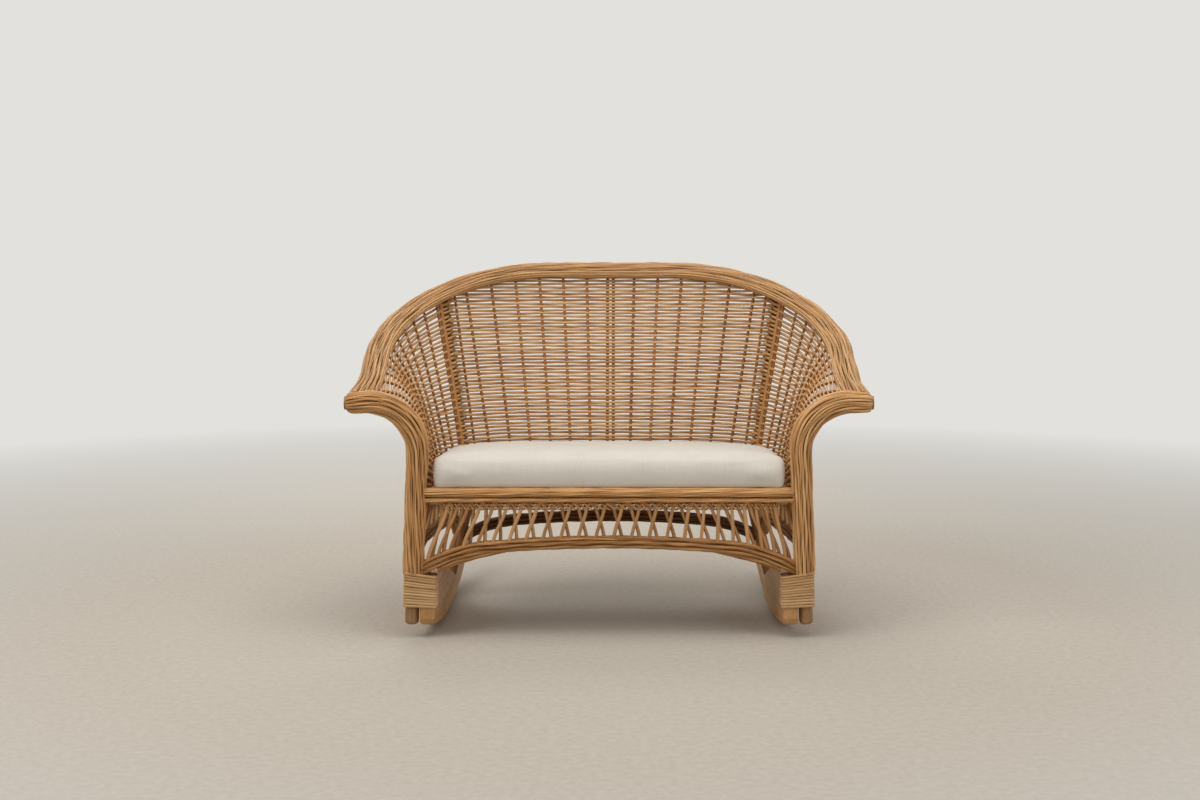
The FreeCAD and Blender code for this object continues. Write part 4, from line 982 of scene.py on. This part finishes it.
def make_back():
    """Back weave, from one back post to the other."""
    sheet = Sheet(stake_share(HOOP_SHAPE, HOOP_STAKE_STEP), stake_share(RIM_SHAPE, RIM_STAKE_STEP), 7.25, -1)
    weavers, stakes = Bundle(), Bundle()
    chance = random.Random(41)

    def spot_at(across, part):
        spot, way = sheet.at(abs(across), part), sheet.inward(max(0.12, abs(across)), part)
        return (mirrored(spot), mirrored(way)) if across > 0 else (spot, way)

    reach = round((BACK_STAKES + 1.12) * FINE)
    columns = [i / FINE for i in range(-reach, reach + 1)]
    lowest, highest = sheet.at(0, 0.02).z, sheet.at(0, 1.03).z
    for row in range(int((highest - lowest) / BACK_PITCH) + 1):
        base = lowest + row * BACK_PITCH + chance.uniform(-0.0005, 0.0005)
        tone = 0.15 + 0.7 * chance.random()
        thickness = chance.uniform(0.94, 1.07)
        runs = [[]]
        for across in columns:
            ripple = 0.0010 * noise.noise(Vector((across * 0.9, row * 1.7, 5.0)))
            ripple += 0.0006 * noise.noise(Vector((across * 2.6, row * 0.31, 8.0)))
            part = sheet.part_at_height(abs(across), base + ripple)
            if part is None:
                runs.append([])
                continue
            spot, way = spot_at(across, max(0.0, part))
            turn = math.cos(math.pi * (across + row))
            if abs(across) < CENTRE_HALF:
                turn = lerp(max(turn, -0.1), turn, abs(across) / CENTRE_HALF)
            # painted shade behind stakes and beside the back posts
            near_post = smooth((abs(across) - BACK_SHADE_FROM) / 0.3)
            deep = UNDER_SHADE * max(0.0, -turn) + POST_SHADE * near_post
            runs[-1].append((spot, way, deep, way * turn))
        for run in runs:
            if len(run) > 3:
                line, ways, deep, over = [list(values) for values in zip(*run)]
                weavers.add(line, ways, tone, thickness, deep, over)
    places = [(number, 1.0) for number in range(1, BACK_STAKES + 1)] + [(BACK_STAKES + BACK_EDGE_STAKE, 0.9)]
    for place, thick in places:
        for side in (-1, 1):
            weave_stake(stakes, [spot_at(side * place, part) for part in STAKE_PARTS], chance, thick)
    weave_pieces("back", weavers, stakes, ["back_weave_left", "back_weave_right"], WEAVE_LIFT)


def make_wing(word, side):
    """One wing, from the arm roll to the back post."""
    last = WING_STAKES + 1.0

    def wing_share(across):
        return side_share(RIM_SHAPE, min(1.03, max(0.001, across / last)))

    sheet = Sheet(wing_share, wing_share, last + 0.25, 1)
    weavers, stakes = Bundle(), Bundle()
    chance = random.Random(61)

    def turned(vector):
        return mirrored(vector) if side > 0 else vector

    steps = round(last * FINE)
    columns = [lerp(0.02, last, i / steps) for i in range(steps + 1)]
    for row in range(WING_ROWS + 1):
        level = 0.012 + 1.0 * (row / WING_ROWS) ** WING_CLIMB
        gap = (1.0 / WING_ROWS) * WING_CLIMB * (max(row, 1) / WING_ROWS) ** 0.12
        tone = 0.15 + 0.7 * chance.random()
        shift = chance.uniform(-0.1, 0.1) / WING_ROWS
        line, ways, over, thick, deep = [], [], [], [], []
        for across in columns:
            ripple = 0.14 / WING_ROWS * noise.noise(Vector((across * 0.9, row * 1.9, 2.0)))
            part = min(1.05, level + shift + ripple)
            spot, way = sheet.at(across, part), sheet.inward(max(0.15, across), part)
            height = (sheet.at(across, min(1.05, part + gap)) - spot).length
            turn = math.cos(math.pi * (across + row))
            line.append(turned(spot))
            ways.append(turned(way))
            over.append(turned(way * turn))
            thick.append(min(1.0, max(0.55, height / WING_PITCH)))
            # painted shade behind stakes and beside the back post
            near_post = smooth((across - WING_SHADE_FROM) / 0.4)
            deep.append(UNDER_SHADE * max(0.0, -turn) + POST_SHADE * near_post)
        weavers.add(line, ways, tone, thick, deep, over)
    places = [(number, 0.92, None) for number in range(1, WING_STAKES + 1)]
    places.append((WING_STAKES + EDGE_STAKE, 1.5, 1.5))
    for place, thick, tone in places:
        found = [(turned(sheet.at(place, part)), turned(sheet.inward(place, part))) for part in STAKE_PARTS]
        weave_stake(stakes, found, chance, thick, tone)
    weave_pieces(word + "_wing", weavers, stakes, [word + "_wing_weave"], WEAVE_LIFT * 0.9)


# Crossed reeds: each reed climbs, loops under the rail and comes down in the next pair

TOP_SPREAD = 0.25
FOOT_SPREAD = 0.225
LOOP_RISE = 0.0075
LEG_POINTS = 15
TWINES = 37
TWINE = 0.0024
TWINE_RISE = 0.0036
TWINE_OUT = 0.0052
REED_SINK = 0.003  # reeds end this far inside the arch
REED_CROWD = (1.19, 0.205)  # pairs lie closer towards the posts
HEAD_LEAN = 0.043
FOOT_LEAN = 0.052


def reed_leg(foot, head, shift):
    """One leg of a reed from foot to head, bowed, with its layer's shift fading towards the head."""
    leg = []
    for i in range(LEG_POINTS):
        part = i / (LEG_POINTS - 1)
        spot = lerp(foot, head, part)
        flat = lerp(foot, head, lerp(part, smooth(part), 0.45))
        spot.x, spot.y = flat.x, flat.y
        leg.append(spot + shift * min(1.0, 2.6 * (1 - part) + 0.2))
    return leg


def make_lattice(name, count, top_at, low_at, away, node, seed):
    bundle = Bundle()
    chance = random.Random(seed)
    layer = REED_ACROSS / 2 + 0.0004
    for number in range(count + 1):
        line = []
        if number > 0:
            place = number - 0.5
            foot, head = low_at((place - FOOT_SPREAD) / count), top_at((place + TOP_SPREAD) / count)
            line = reed_leg(foot, head, away * -layer)
        if number < count:
            place = number + 0.5
            foot, head = low_at((place + FOOT_SPREAD) / count), top_at((place - TOP_SPREAD) / count)
            down = reed_leg(foot, head, away * layer)[::-1]
            for i in range(1, 6) if line else ():
                spot = lerp(line[LEG_POINTS - 1], down[0], i / 6)
                spot.z += LOOP_RISE * math.sin(math.pi * (i / 6))
                line.append(spot)
            line = line + down
        seed_place = chance.uniform(0, 60)
        wavy = []
        for spot in line:
            sway = 0.0009 * noise.noise(Vector((spot.z * 22, seed_place, 0.7)))
            wavy.append(spot + Vector((sway, 0.4 * sway, 0)))
        # the last number is a little painted shade
        bundle.add(wavy, [away] * len(wavy), chance.random(), chance.uniform(1.0, 1.2), 0.05)
    strand_piece(name, bundle, reed_finish, REED_ACROSS / 2, [node], sides=8)


def make_twining(top_at):
    """Two canes that twist round each other under the rail and hold the reeds."""
    bundle = Bundle()
    chance = random.Random(77)
    steps = FRONT_REEDS * 12
    for row, height in enumerate((0.004, -0.004)):
        for phase in (0, math.pi):
            line = []
            for i in range(steps + 1):
                turn = 2 * math.pi * TWINES * i / steps + phase + 0.9 * row
                wander = 0.0012 * noise.noise(Vector((i * 0.2, phase, row)))
                spot = top_at(i / steps)
                spot.z += height + TWINE_RISE * math.sin(turn) + wander
                spot.y += TWINE_OUT * math.cos(turn)
                line.append(spot)
            # the last number is a little painted shade
            bundle.add(line, [BACK] * len(line), chance.random(), 1.0, 0.08)
    strand_piece("front_twining", bundle, reed_finish, TWINE, [])


def chain_point(chain, share):
    """Point at a share of a chain's length."""
    lengths = [(b - a).length for a, b in zip(chain, chain[1:])]
    goal = min(1.0, max(0.0, share)) * sum(lengths)
    for first, last, length in zip(chain, chain[1:], lengths):
        if goal <= length:
            return lerp(first, last, goal / max(length, 1e-9))
        goal -= length
    return chain[-1].copy()


def front_arch_points():
    half = post_x(ARCH_END)
    return [Vector((u, FRONT_Y, z)) for u, z in arch_line(half, ARCH_HEIGHT, ARCH_END)]


def leg_x(height):
    """Rear leg's axis from the middle, at a height, from the leg's own box."""
    low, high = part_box("right_rear_leg")
    half = LEG_ACROSS / 2
    return lerp(high.x - half, low.x + half, (height - low.z) / (high.z - low.z))


def rear_y():
    low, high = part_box("rear_arch")
    return (low.y + high.y) / 2


def rear_arch_points():
    line = arch_line(leg_x(ARCH_END), ARCH_HEIGHT - 0.010, ARCH_END + 0.006)
    return [Vector((u, rear_y(), z)) for u, z in line]


def side_arch_points(side):
    front = Vector((side * post_x(ARCH_END), FRONT_Y, 0))
    rear = Vector((side * leg_x(ARCH_END), rear_y(), 0))
    middle, way = (front + rear) / 2, (rear - front).normalized()
    half = (rear - front).length / 2
    line = arch_line(half, ARCH_HEIGHT + 0.002, ARCH_END + 0.008)
    return [middle + way * u + UP * z for u, z in line]


def trimmed(points, cut):
    """A chain without the lengths that lie inside the poles at its ends."""
    even = resample(points, 0.004)
    lose = round(cut / 0.004)
    return even[lose:-lose]


def make_lattices():
    arch = front_arch_points()
    half = post_x(RAIL_HEIGHT) - ROLL_ACROSS / 2 - 0.0125
    arch_top = UP * (ARCH_ACROSS / 2 - REED_SINK)

    def spread(share):
        across = 2 * share - 1
        return REED_CROWD[0] * across - REED_CROWD[1] * across**3

    def front_top(share):
        across = spread(share)
        x = half * (across - HEAD_LEAN * across * abs(across))
        return Vector((x, FRONT_Y, RAIL_HEIGHT - RAIL_ACROSS / 2 - LOOP_RISE - 0.003))

    def front_low(share):
        across = spread(share)
        goal = half * (across + FOOT_LEAN * across * abs(across))
        for here, there in zip(arch, arch[1:]):
            if there.x >= goal:
                return lerp(here, there, (goal - here.x) / max(there.x - here.x, 1e-9)) + arch_top
        return arch[-1] + arch_top

    make_lattice("front_lattice_reeds", FRONT_REEDS, front_top, front_low, BACK, "front_lattice", 71)
    make_twining(front_top)
    for word, side in SIDES:
        side_arch = side_arch_points(side)
        hoop = []
        for i in range(61):
            spot = on_seat(*hoop_point(i / 60, *HOOP_SHAPE), -HOOP_ACROSS / 2)
            hoop.append(Vector((spot.x * -side, spot.y, spot.z)))

        def side_top(share, chain=hoop):
            return chain_point(chain, 0.06 + 0.84 * share) - UP * (HOOP_ACROSS / 2 + 0.005)

        def side_low(share, chain=side_arch):
            return chain_point(chain, 0.05 + 0.90 * share) + arch_top

        node, away = word + "_lattice", Vector((side, 0, 0))
        make_lattice(node + "_reeds", SIDE_REEDS, side_top, side_low, away, node, 73 + side)


# Foot bindings: flat cane wound round post and runner

CANE_WIDE = 0.0064
CANE_FLAT = 0.52
BIND_BEND = 0.0062
BIND_STEP = 0.007
BIND_HUG = 0.0026
BIND_START = 0.0038


def binding_turn(inner, outer, deep):
    """One turn of cane in plan, as points and outward directions."""
    corners = [(outer, -deep), (inner, -deep), (inner, deep), (outer, deep)]
    line, ways = [], []
    for number, (x, y) in enumerate(corners):
        before, after = corners[number - 1], corners[(number + 1) % 4]
        toward = Vector((before[0] - x, before[1] - y)).normalized()
        onward = Vector((after[0] - x, after[1] - y)).normalized()
        centre = Vector((x, y)) + (toward + onward) * BIND_BEND
        for i in range(7):
            angle = math.pi / 2 * i / 6
            way = -onward * math.cos(angle) - toward * math.sin(angle)
            line.append(centre + way * BIND_BEND)
            ways.append(way)
    line.append(line[0].copy())
    ways.append(ways[0].copy())
    found = []
    for here, there, way, next_way in zip(line, line[1:], ways, ways[1:]):
        pieces = max(1, round((there - here).length / BIND_STEP))
        for i in range(pieces):
            found.append((lerp(here, there, i / pieces), lerp(way, next_way, i / pieces).normalized()))
    return found


def make_binding(word, side):
    bundle = Bundle()
    chance = random.Random(81 + side)
    inner = ROCKER_HALF_GAP - ROCKER_THICK / 2 - BIND_HUG - 0.0012
    deep = ROCKER_NOSE + BIND_HUG + 0.0004
    for turn in range(CANE_TURNS):
        height = NOTCH_FLOOR + BIND_START + turn * CANE_PITCH
        lean = lerp(0.004, 0.012, turn / (CANE_TURNS - 1))
        outer = post_x(height) + POST_ACROSS / 2 + BIND_HUG
        slip = chance.uniform(-0.0005, 0.0005)
        points, faces = [], []
        for spot, way in binding_turn(inner, outer, deep):
            across = (spot.x - inner) / (outer - inner)
            rise = 0.0
            if spot.y > deep - 0.004 and turn < CANE_TURNS - 1:
                rise = 0.96 * CANE_PITCH * smooth(across)
            rise += lean * across
            jitter = 0.00035 * noise.noise(Vector((spot.x * 40, turn * 2.3, spot.y * 40)))
            points.append(Vector((side * spot.x, FRONT_Y + spot.y, height + slip + jitter + rise)))
            faces.append(Vector((side * way.x, way.y, 0)))
        # the last number is a little painted shade
        bundle.add(points, faces, chance.uniform(0.2, 0.9), 1.0, 0.03)
    name, replaced = word + "_foot_cane", [word + "_foot_binding"]
    strand_piece(name, bundle, binding_finish, CANE_WIDE / 2, replaced, 10, CANE_FLAT)


# Cushion: a sewn box cushion, filled by a short cloth run

CUSHION_STEP = 0.0050
SWELL_CAP = 0.006
SWELL_FRAMES = 20
CUSHION_INSET = 0.002
PLAN_CORNER = 0.013
FRONT_BOW = 0.002
CROWN_IN = 0.110
FRONT_SAG = 0.0060
FRONT_BULGE = 0.050
LOW_EDGE = 0.004
TOP_EDGE = 0.010
TOP_WAVE = 0.0016
SEAT_GAP = 0.0004
START_GAP = 0.0006
FRONT_DEPTH = 0.10
BULGE_LEVEL = 0.40
LOW_HALF = 0.05


def cushion_outline(inset):
    """Plan of the cushion in the seat plane, moved in by inset."""
    half = CUSHION_HALF - inset
    front = CUSHION_FRONT + inset
    corner = PLAN_CORNER + inset * 0.35
    shape = (half, front, CUSHION_SIDE_END, CUSHION_CORNER - inset, CUSHION_BACK_HALF)
    left = []
    for i in range(13):
        part = i / 13
        left.append((-(half - corner) * part, front + FRONT_BOW * (1 - part**2)))
    for i in range(9):
        angle = math.pi / 2 * i / 8
        left.append((-half + corner - corner * math.sin(angle), front + corner - corner * math.cos(angle)))
    shares = [SIDE_PART + SIDE_PART * i / 8 for i in range(9)] + [1 + BEND_PART * i / 8 for i in range(1, 9)]
    left += [hoop_point(share, *shape) for share in shares]
    left.append((0.0, left[-1][1]))
    right = [(-u, v) for u, v in reversed(left[1:-1])]
    return left + right


def cushion_levels():
    """Height and inset of each level from the underside to the crown."""
    low = SLAT_THICK + START_GAP
    high = low + CUSHION_HIGH - 0.002
    levels = []
    for i in range(5):
        angle = math.pi / 2 * i / 4
        levels.append((low + LOW_EDGE * (1 - math.cos(angle)), 0.001 + LOW_EDGE * (1 - math.sin(angle))))
    levels.append((lerp(low, high, 0.45), 0.0004))
    for i in range(6):
        angle = math.pi / 2 * i / 5
        levels.append((high - TOP_EDGE * (1 - math.sin(angle)), TOP_EDGE * (1 - math.cos(angle))))
    for part in (0.25, 0.5, 0.75, 1.0):
        levels.append((high + (CUSHION_CROWN - 0.004) * (1 - (1 - part) ** 2), TOP_EDGE + CROWN_IN * part))
    return levels


def cushion_start():
    """Slightly slack cushion shape before it is filled."""
    shape = bmesh.new()
    rings = []
    for height, inset in cushion_levels():
        ring = [shape.verts.new(on_seat(u, v, height)) for u, v in cushion_outline(inset + CUSHION_INSET)]
        rings.append(ring)
    count = len(rings[0])
    for low, high in zip(rings, rings[1:]):
        for i in range(count):
            shape.faces.new((low[i], low[(i + 1) % count], high[(i + 1) % count], high[i]))
    shape.faces.new(rings[0][::-1])
    shape.faces.new(rings[-1])
    bmesh.ops.recalc_face_normals(shape, faces=shape.faces)
    mesh = bpy.data.meshes.new("cushion_start")
    shape.to_mesh(mesh)
    shape.free()
    return mesh


def use_modifier(piece, kind, **settings):
    """Add a modifier, apply its result and remove it."""
    modifier = piece.modifiers.new(kind.lower(), kind)
    for name, value in settings.items():
        setattr(modifier, name, value)
    graph = bpy.context.evaluated_depsgraph_get()
    mesh = bpy.data.meshes.new_from_object(piece.evaluated_get(graph), depsgraph=graph)
    piece.modifiers.clear()
    piece.data = mesh


def fill_cushion(piece):
    """Let the cover swell under its filling, with a cap on how far any point moves."""
    before = [v.co.copy() for v in piece.data.vertices]
    cloth = piece.modifiers.new("filling", "CLOTH")
    cloth.settings.use_pressure = True
    cloth.settings.uniform_pressure_force = 4.0
    cloth.settings.effector_weights.gravity = 0.0
    cloth.settings.tension_stiffness = 20
    cloth.settings.compression_stiffness = 20
    cloth.settings.bending_stiffness = 1.5
    cloth.settings.quality = 4
    cloth.collision_settings.use_collision = False
    cloth.point_cache.frame_start = 1
    cloth.point_cache.frame_end = SWELL_FRAMES
    scene = bpy.context.scene
    for step in range(1, SWELL_FRAMES + 1):
        scene.frame_set(step)
    graph = bpy.context.evaluated_depsgraph_get()
    swollen = piece.evaluated_get(graph).to_mesh()
    moved = [v.co.copy() for v in swollen.vertices]
    piece.evaluated_get(graph).to_mesh_clear()
    piece.modifiers.clear()
    scene.frame_set(1)
    for vertex, old, new in zip(piece.data.vertices, before, moved):
        step = new - old
        if step.length > SWELL_CAP:
            step *= SWELL_CAP / step.length
        vertex.co = old + step


def on_seat_plane(point):
    """Height of a point above the seat plane, and its distance back from the front posts."""
    y, z = point.y - FRONT_Y, point.z - SEAT_HEIGHT
    height = -y * math.sin(SEAT_TILT) + z * math.cos(SEAT_TILT)
    return height, y * math.cos(SEAT_TILT) + z * math.sin(SEAT_TILT)


def settle_cushion(piece):
    """Press the underside onto slats and rail, round the front, and make the top slightly uneven."""
    floor = SLAT_THICK + SEAT_GAP
    vertices = piece.data.vertices
    widen = CUSHION_FULL / max(abs(vertex.co.x) for vertex in vertices)
    pulled_in = min(on_seat_plane(vertex.co)[1] for vertex in vertices) - CUSHION_FRONT
    for vertex in vertices:
        height, back = on_seat_plane(vertex.co)
        vertex.co.x *= widen
        near_front = smooth(1 - (back - CUSHION_FRONT) / FRONT_DEPTH)
        level = (height - floor) / CUSHION_HIGH - BULGE_LEVEL
        bulge = level * level * (FRONT_BULGE if level > 0 else 0.6 * FRONT_BULGE)
        back += (bulge - pulled_in) * near_front
        if height > floor + LOW_HALF:
            height += TOP_WAVE * noise.noise(Vector((vertex.co.x * 5.0, back * 6.0, 1.3)))
        height = max(height, floor)
        over_rail = smooth((0.012 - back) / 0.020) * (1 - smooth((height - floor) / LOW_HALF))
        vertex.co = on_seat(vertex.co.x, back, height - FRONT_SAG * over_rail)


def map_threads(mesh):
    """A thread map in metres: across and back on top, along and up on the sides."""
    layer = mesh.uv_layers.new(name="threads")
    for face in mesh.polygons:
        normal = face.normal
        for corner in face.loop_indices:
            spot = mesh.vertices[mesh.loops[corner].vertex_index].co
            if abs(normal.z) > 0.7:
                layer.data[corner].uv = (spot.x, spot.y)
            elif abs(normal.y) > abs(normal.x):
                layer.data[corner].uv = (spot.x, spot.z)
            else:
                layer.data[corner].uv = (spot.y, spot.z)


def make_cushion():
    piece = bpy.data.objects.new("seat_cushion", cushion_start())
    bpy.context.scene.collection.objects.link(piece)
    use_modifier(piece, "REMESH", mode="VOXEL", voxel_size=CUSHION_STEP)
    fill_cushion(piece)
    use_modifier(piece, "SMOOTH", factor=0.5, iterations=12)
    settle_cushion(piece)
    map_threads(piece.data)
    piece.data.materials.clear()
    piece.data.materials.append(linen)
    piece.data.polygons.foreach_set("use_smooth", [True] * len(piece.data.polygons))
    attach(piece, "cushion")
    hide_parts("cushion_cover", "cushion_core")


# All pieces

make_rim()
for word, side in SIDES:
    make_arm_roll(word, side)
    make_wing(word, side)
    make_binding(word, side)
    arch = trimmed(side_arch_points(side), ROLL_ACROSS / 2 - 0.004)
    make_arch(word + "_side_arch_strands", arch, word + "_side_arch", arch_finish, 51 + side)
make_back()
make_front_rail()
front_line = trimmed(front_arch_points(), ROLL_ACROSS / 2 - 0.003)
make_arch("front_arch_strands", front_line, "front_arch", arch_finish, 55, True)
rear_line = trimmed(rear_arch_points(), POST_ACROSS / 2)
make_arch("rear_arch_strands", rear_line, "rear_arch", shaded_rear_finish, 57)
make_lattices()
make_cushion()

paint(runner_finish, "left_rocker", "right_rocker")
paint(shaded_post_finish, "left_front_post", "right_front_post")
paint(leg_finish, "left_rear_leg", "right_rear_leg", "centre_back_stakes")
paint(shaded_strip_finish, "left_back_post", "right_back_post")
paint(hoop_finish, "seat_hoop", "rim_pole")
paint(shaded_cross_finish, "rear_stretcher", "rear_arch_strut")
paint(slat_finish, *["seat_slat_%d" % number for number in range(1, SEAT_SLATS + 1)])
paint(ledger_finish, "front_ledger")
paint(screw_finish, "frame_screws", "slat_nails")

# Floor, light and camera

BACKGROUND = hue(226, 225, 221)
DOME_COLOUR = (1.0, 0.965, 0.91, 1.0)
DOME_STRENGTH = 0.34
FLOOR_SIZE = 14.0
FADE_START = 1.3
FADE_END = 4.5


def seen_plainly(tree):
    """1 where a ray comes from the eye, straight or by a mirror or through glass; 0 for soft light."""
    rays = add_node(tree, "ShaderNodeLightPath").outputs
    shown = math_node(tree, "MAXIMUM", rays["Is Camera Ray"], rays["Is Glossy Ray"])
    return math_node(tree, "MAXIMUM", shown, rays["Is Transmission Ray"])


def make_floor():
    """Wide floor that fades into the background far from the settee."""
    mesh = bpy.data.meshes.new("floor")
    corners = [(x * FLOOR_SIZE, y * FLOOR_SIZE, 0) for x, y in ((-1, -1), (1, -1), (1, 1), (-1, 1))]
    mesh.from_pydata(corners, [], [(0, 1, 2, 3)])
    floor = bpy.data.objects.new("floor", mesh)
    bpy.context.scene.collection.objects.link(floor)
    finish, tree, shader = new_finish("pale_floor", 0.9, 0.1)
    place = add_node(tree, "ShaderNodeTexCoord").outputs["Object"]
    speckle = noise_node(tree, place, 60.0, 3.0)
    colour = colour_ramp(tree, speckle, [(0.3, (184, 177, 166)), (0.7, (194, 187, 177))])
    set_inputs(tree, shader, {"Base Color": colour})
    distance = add_node(tree, "ShaderNodeVectorMath", {0: place}, operation="LENGTH").outputs["Value"]
    far = add_node(tree, "ShaderNodeMapRange", {"Value": distance, 1: FADE_START, 2: FADE_END}).outputs[0]
    share = math_node(tree, "MULTIPLY", seen_plainly(tree), far)
    pale = add_node(tree, "ShaderNodeEmission", {"Color": BACKGROUND, "Strength": 1.0})
    mix = add_node(tree, "ShaderNodeMixShader", {0: share, 1: shader.outputs[0], 2: pale.outputs[0]})
    set_inputs(tree, tree.nodes["Material Output"], {"Surface": mix.outputs[0]})
    mesh.materials.append(finish)


def make_world():
    world = bpy.data.worlds.new("soft_room")
    world.use_nodes = True
    bpy.context.scene.world = world
    tree = world.node_tree
    pale = add_node(tree, "ShaderNodeBackground", {"Color": BACKGROUND, "Strength": 1.0})
    dome = tree.nodes["Background"]
    set_inputs(tree, dome, {"Color": DOME_COLOUR, "Strength": DOME_STRENGTH})
    both = {0: seen_plainly(tree), 1: dome.outputs[0], 2: pale.outputs[0]}
    mix = add_node(tree, "ShaderNodeMixShader", both)
    set_inputs(tree, tree.nodes["World Output"], {"Surface": mix.outputs[0]})


def make_lamp(name, place, aim, size, power, colour):
    lamp = bpy.data.lights.new(name, "AREA")
    lamp.size = size
    lamp.energy = power
    lamp.color = colour
    holder = bpy.data.objects.new(name, lamp)
    holder.location = place
    holder.rotation_euler = (Vector(aim) - Vector(place)).to_track_quat("-Z", "Y").to_euler()
    bpy.context.scene.collection.objects.link(holder)


make_world()
make_floor()
make_lamp("window_light", (-2.6, -2.0, 3.0), (0, 0, 0.4), 2.2, 47, (1.0, 0.97, 0.93))
make_lamp("ceiling_light", (0.2, -0.5, 3.4), (0, 0, 0.4), 2.4, 52, (1.0, 0.98, 0.95))
make_lamp("room_fill", (2.8, -2.2, 2.0), (0, 0, 0.45), 2.4, 28, (1.0, 0.98, 0.96))
make_lamp("back_fill", (-0.6, 2.8, 2.6), (0, 0, 0.5), 2.4, 50, (1.0, 0.99, 0.97))

PHOTO_WIDE = 1200
CAMERA_DISTANCE = 4.177
EYE_SIDE = 0.027
EYE_HEIGHT = 0.997
camera = bpy.data.cameras.new("camera")
camera.sensor_fit = "HORIZONTAL"
camera.sensor_width = 36
camera.lens = 51
camera.shift_x = -20 / PHOTO_WIDE
camera.shift_y = -169 / PHOTO_WIDE
holder = bpy.data.objects.new("camera", camera)
holder.location = (EYE_SIDE, FRONT_Y - CAMERA_DISTANCE, EYE_HEIGHT)
holder.rotation_euler = (math.pi / 2, 0, 0)
bpy.context.scene.collection.objects.link(holder)
bpy.context.scene.camera = holder
bpy.context.scene.view_settings.view_transform = "Standard"
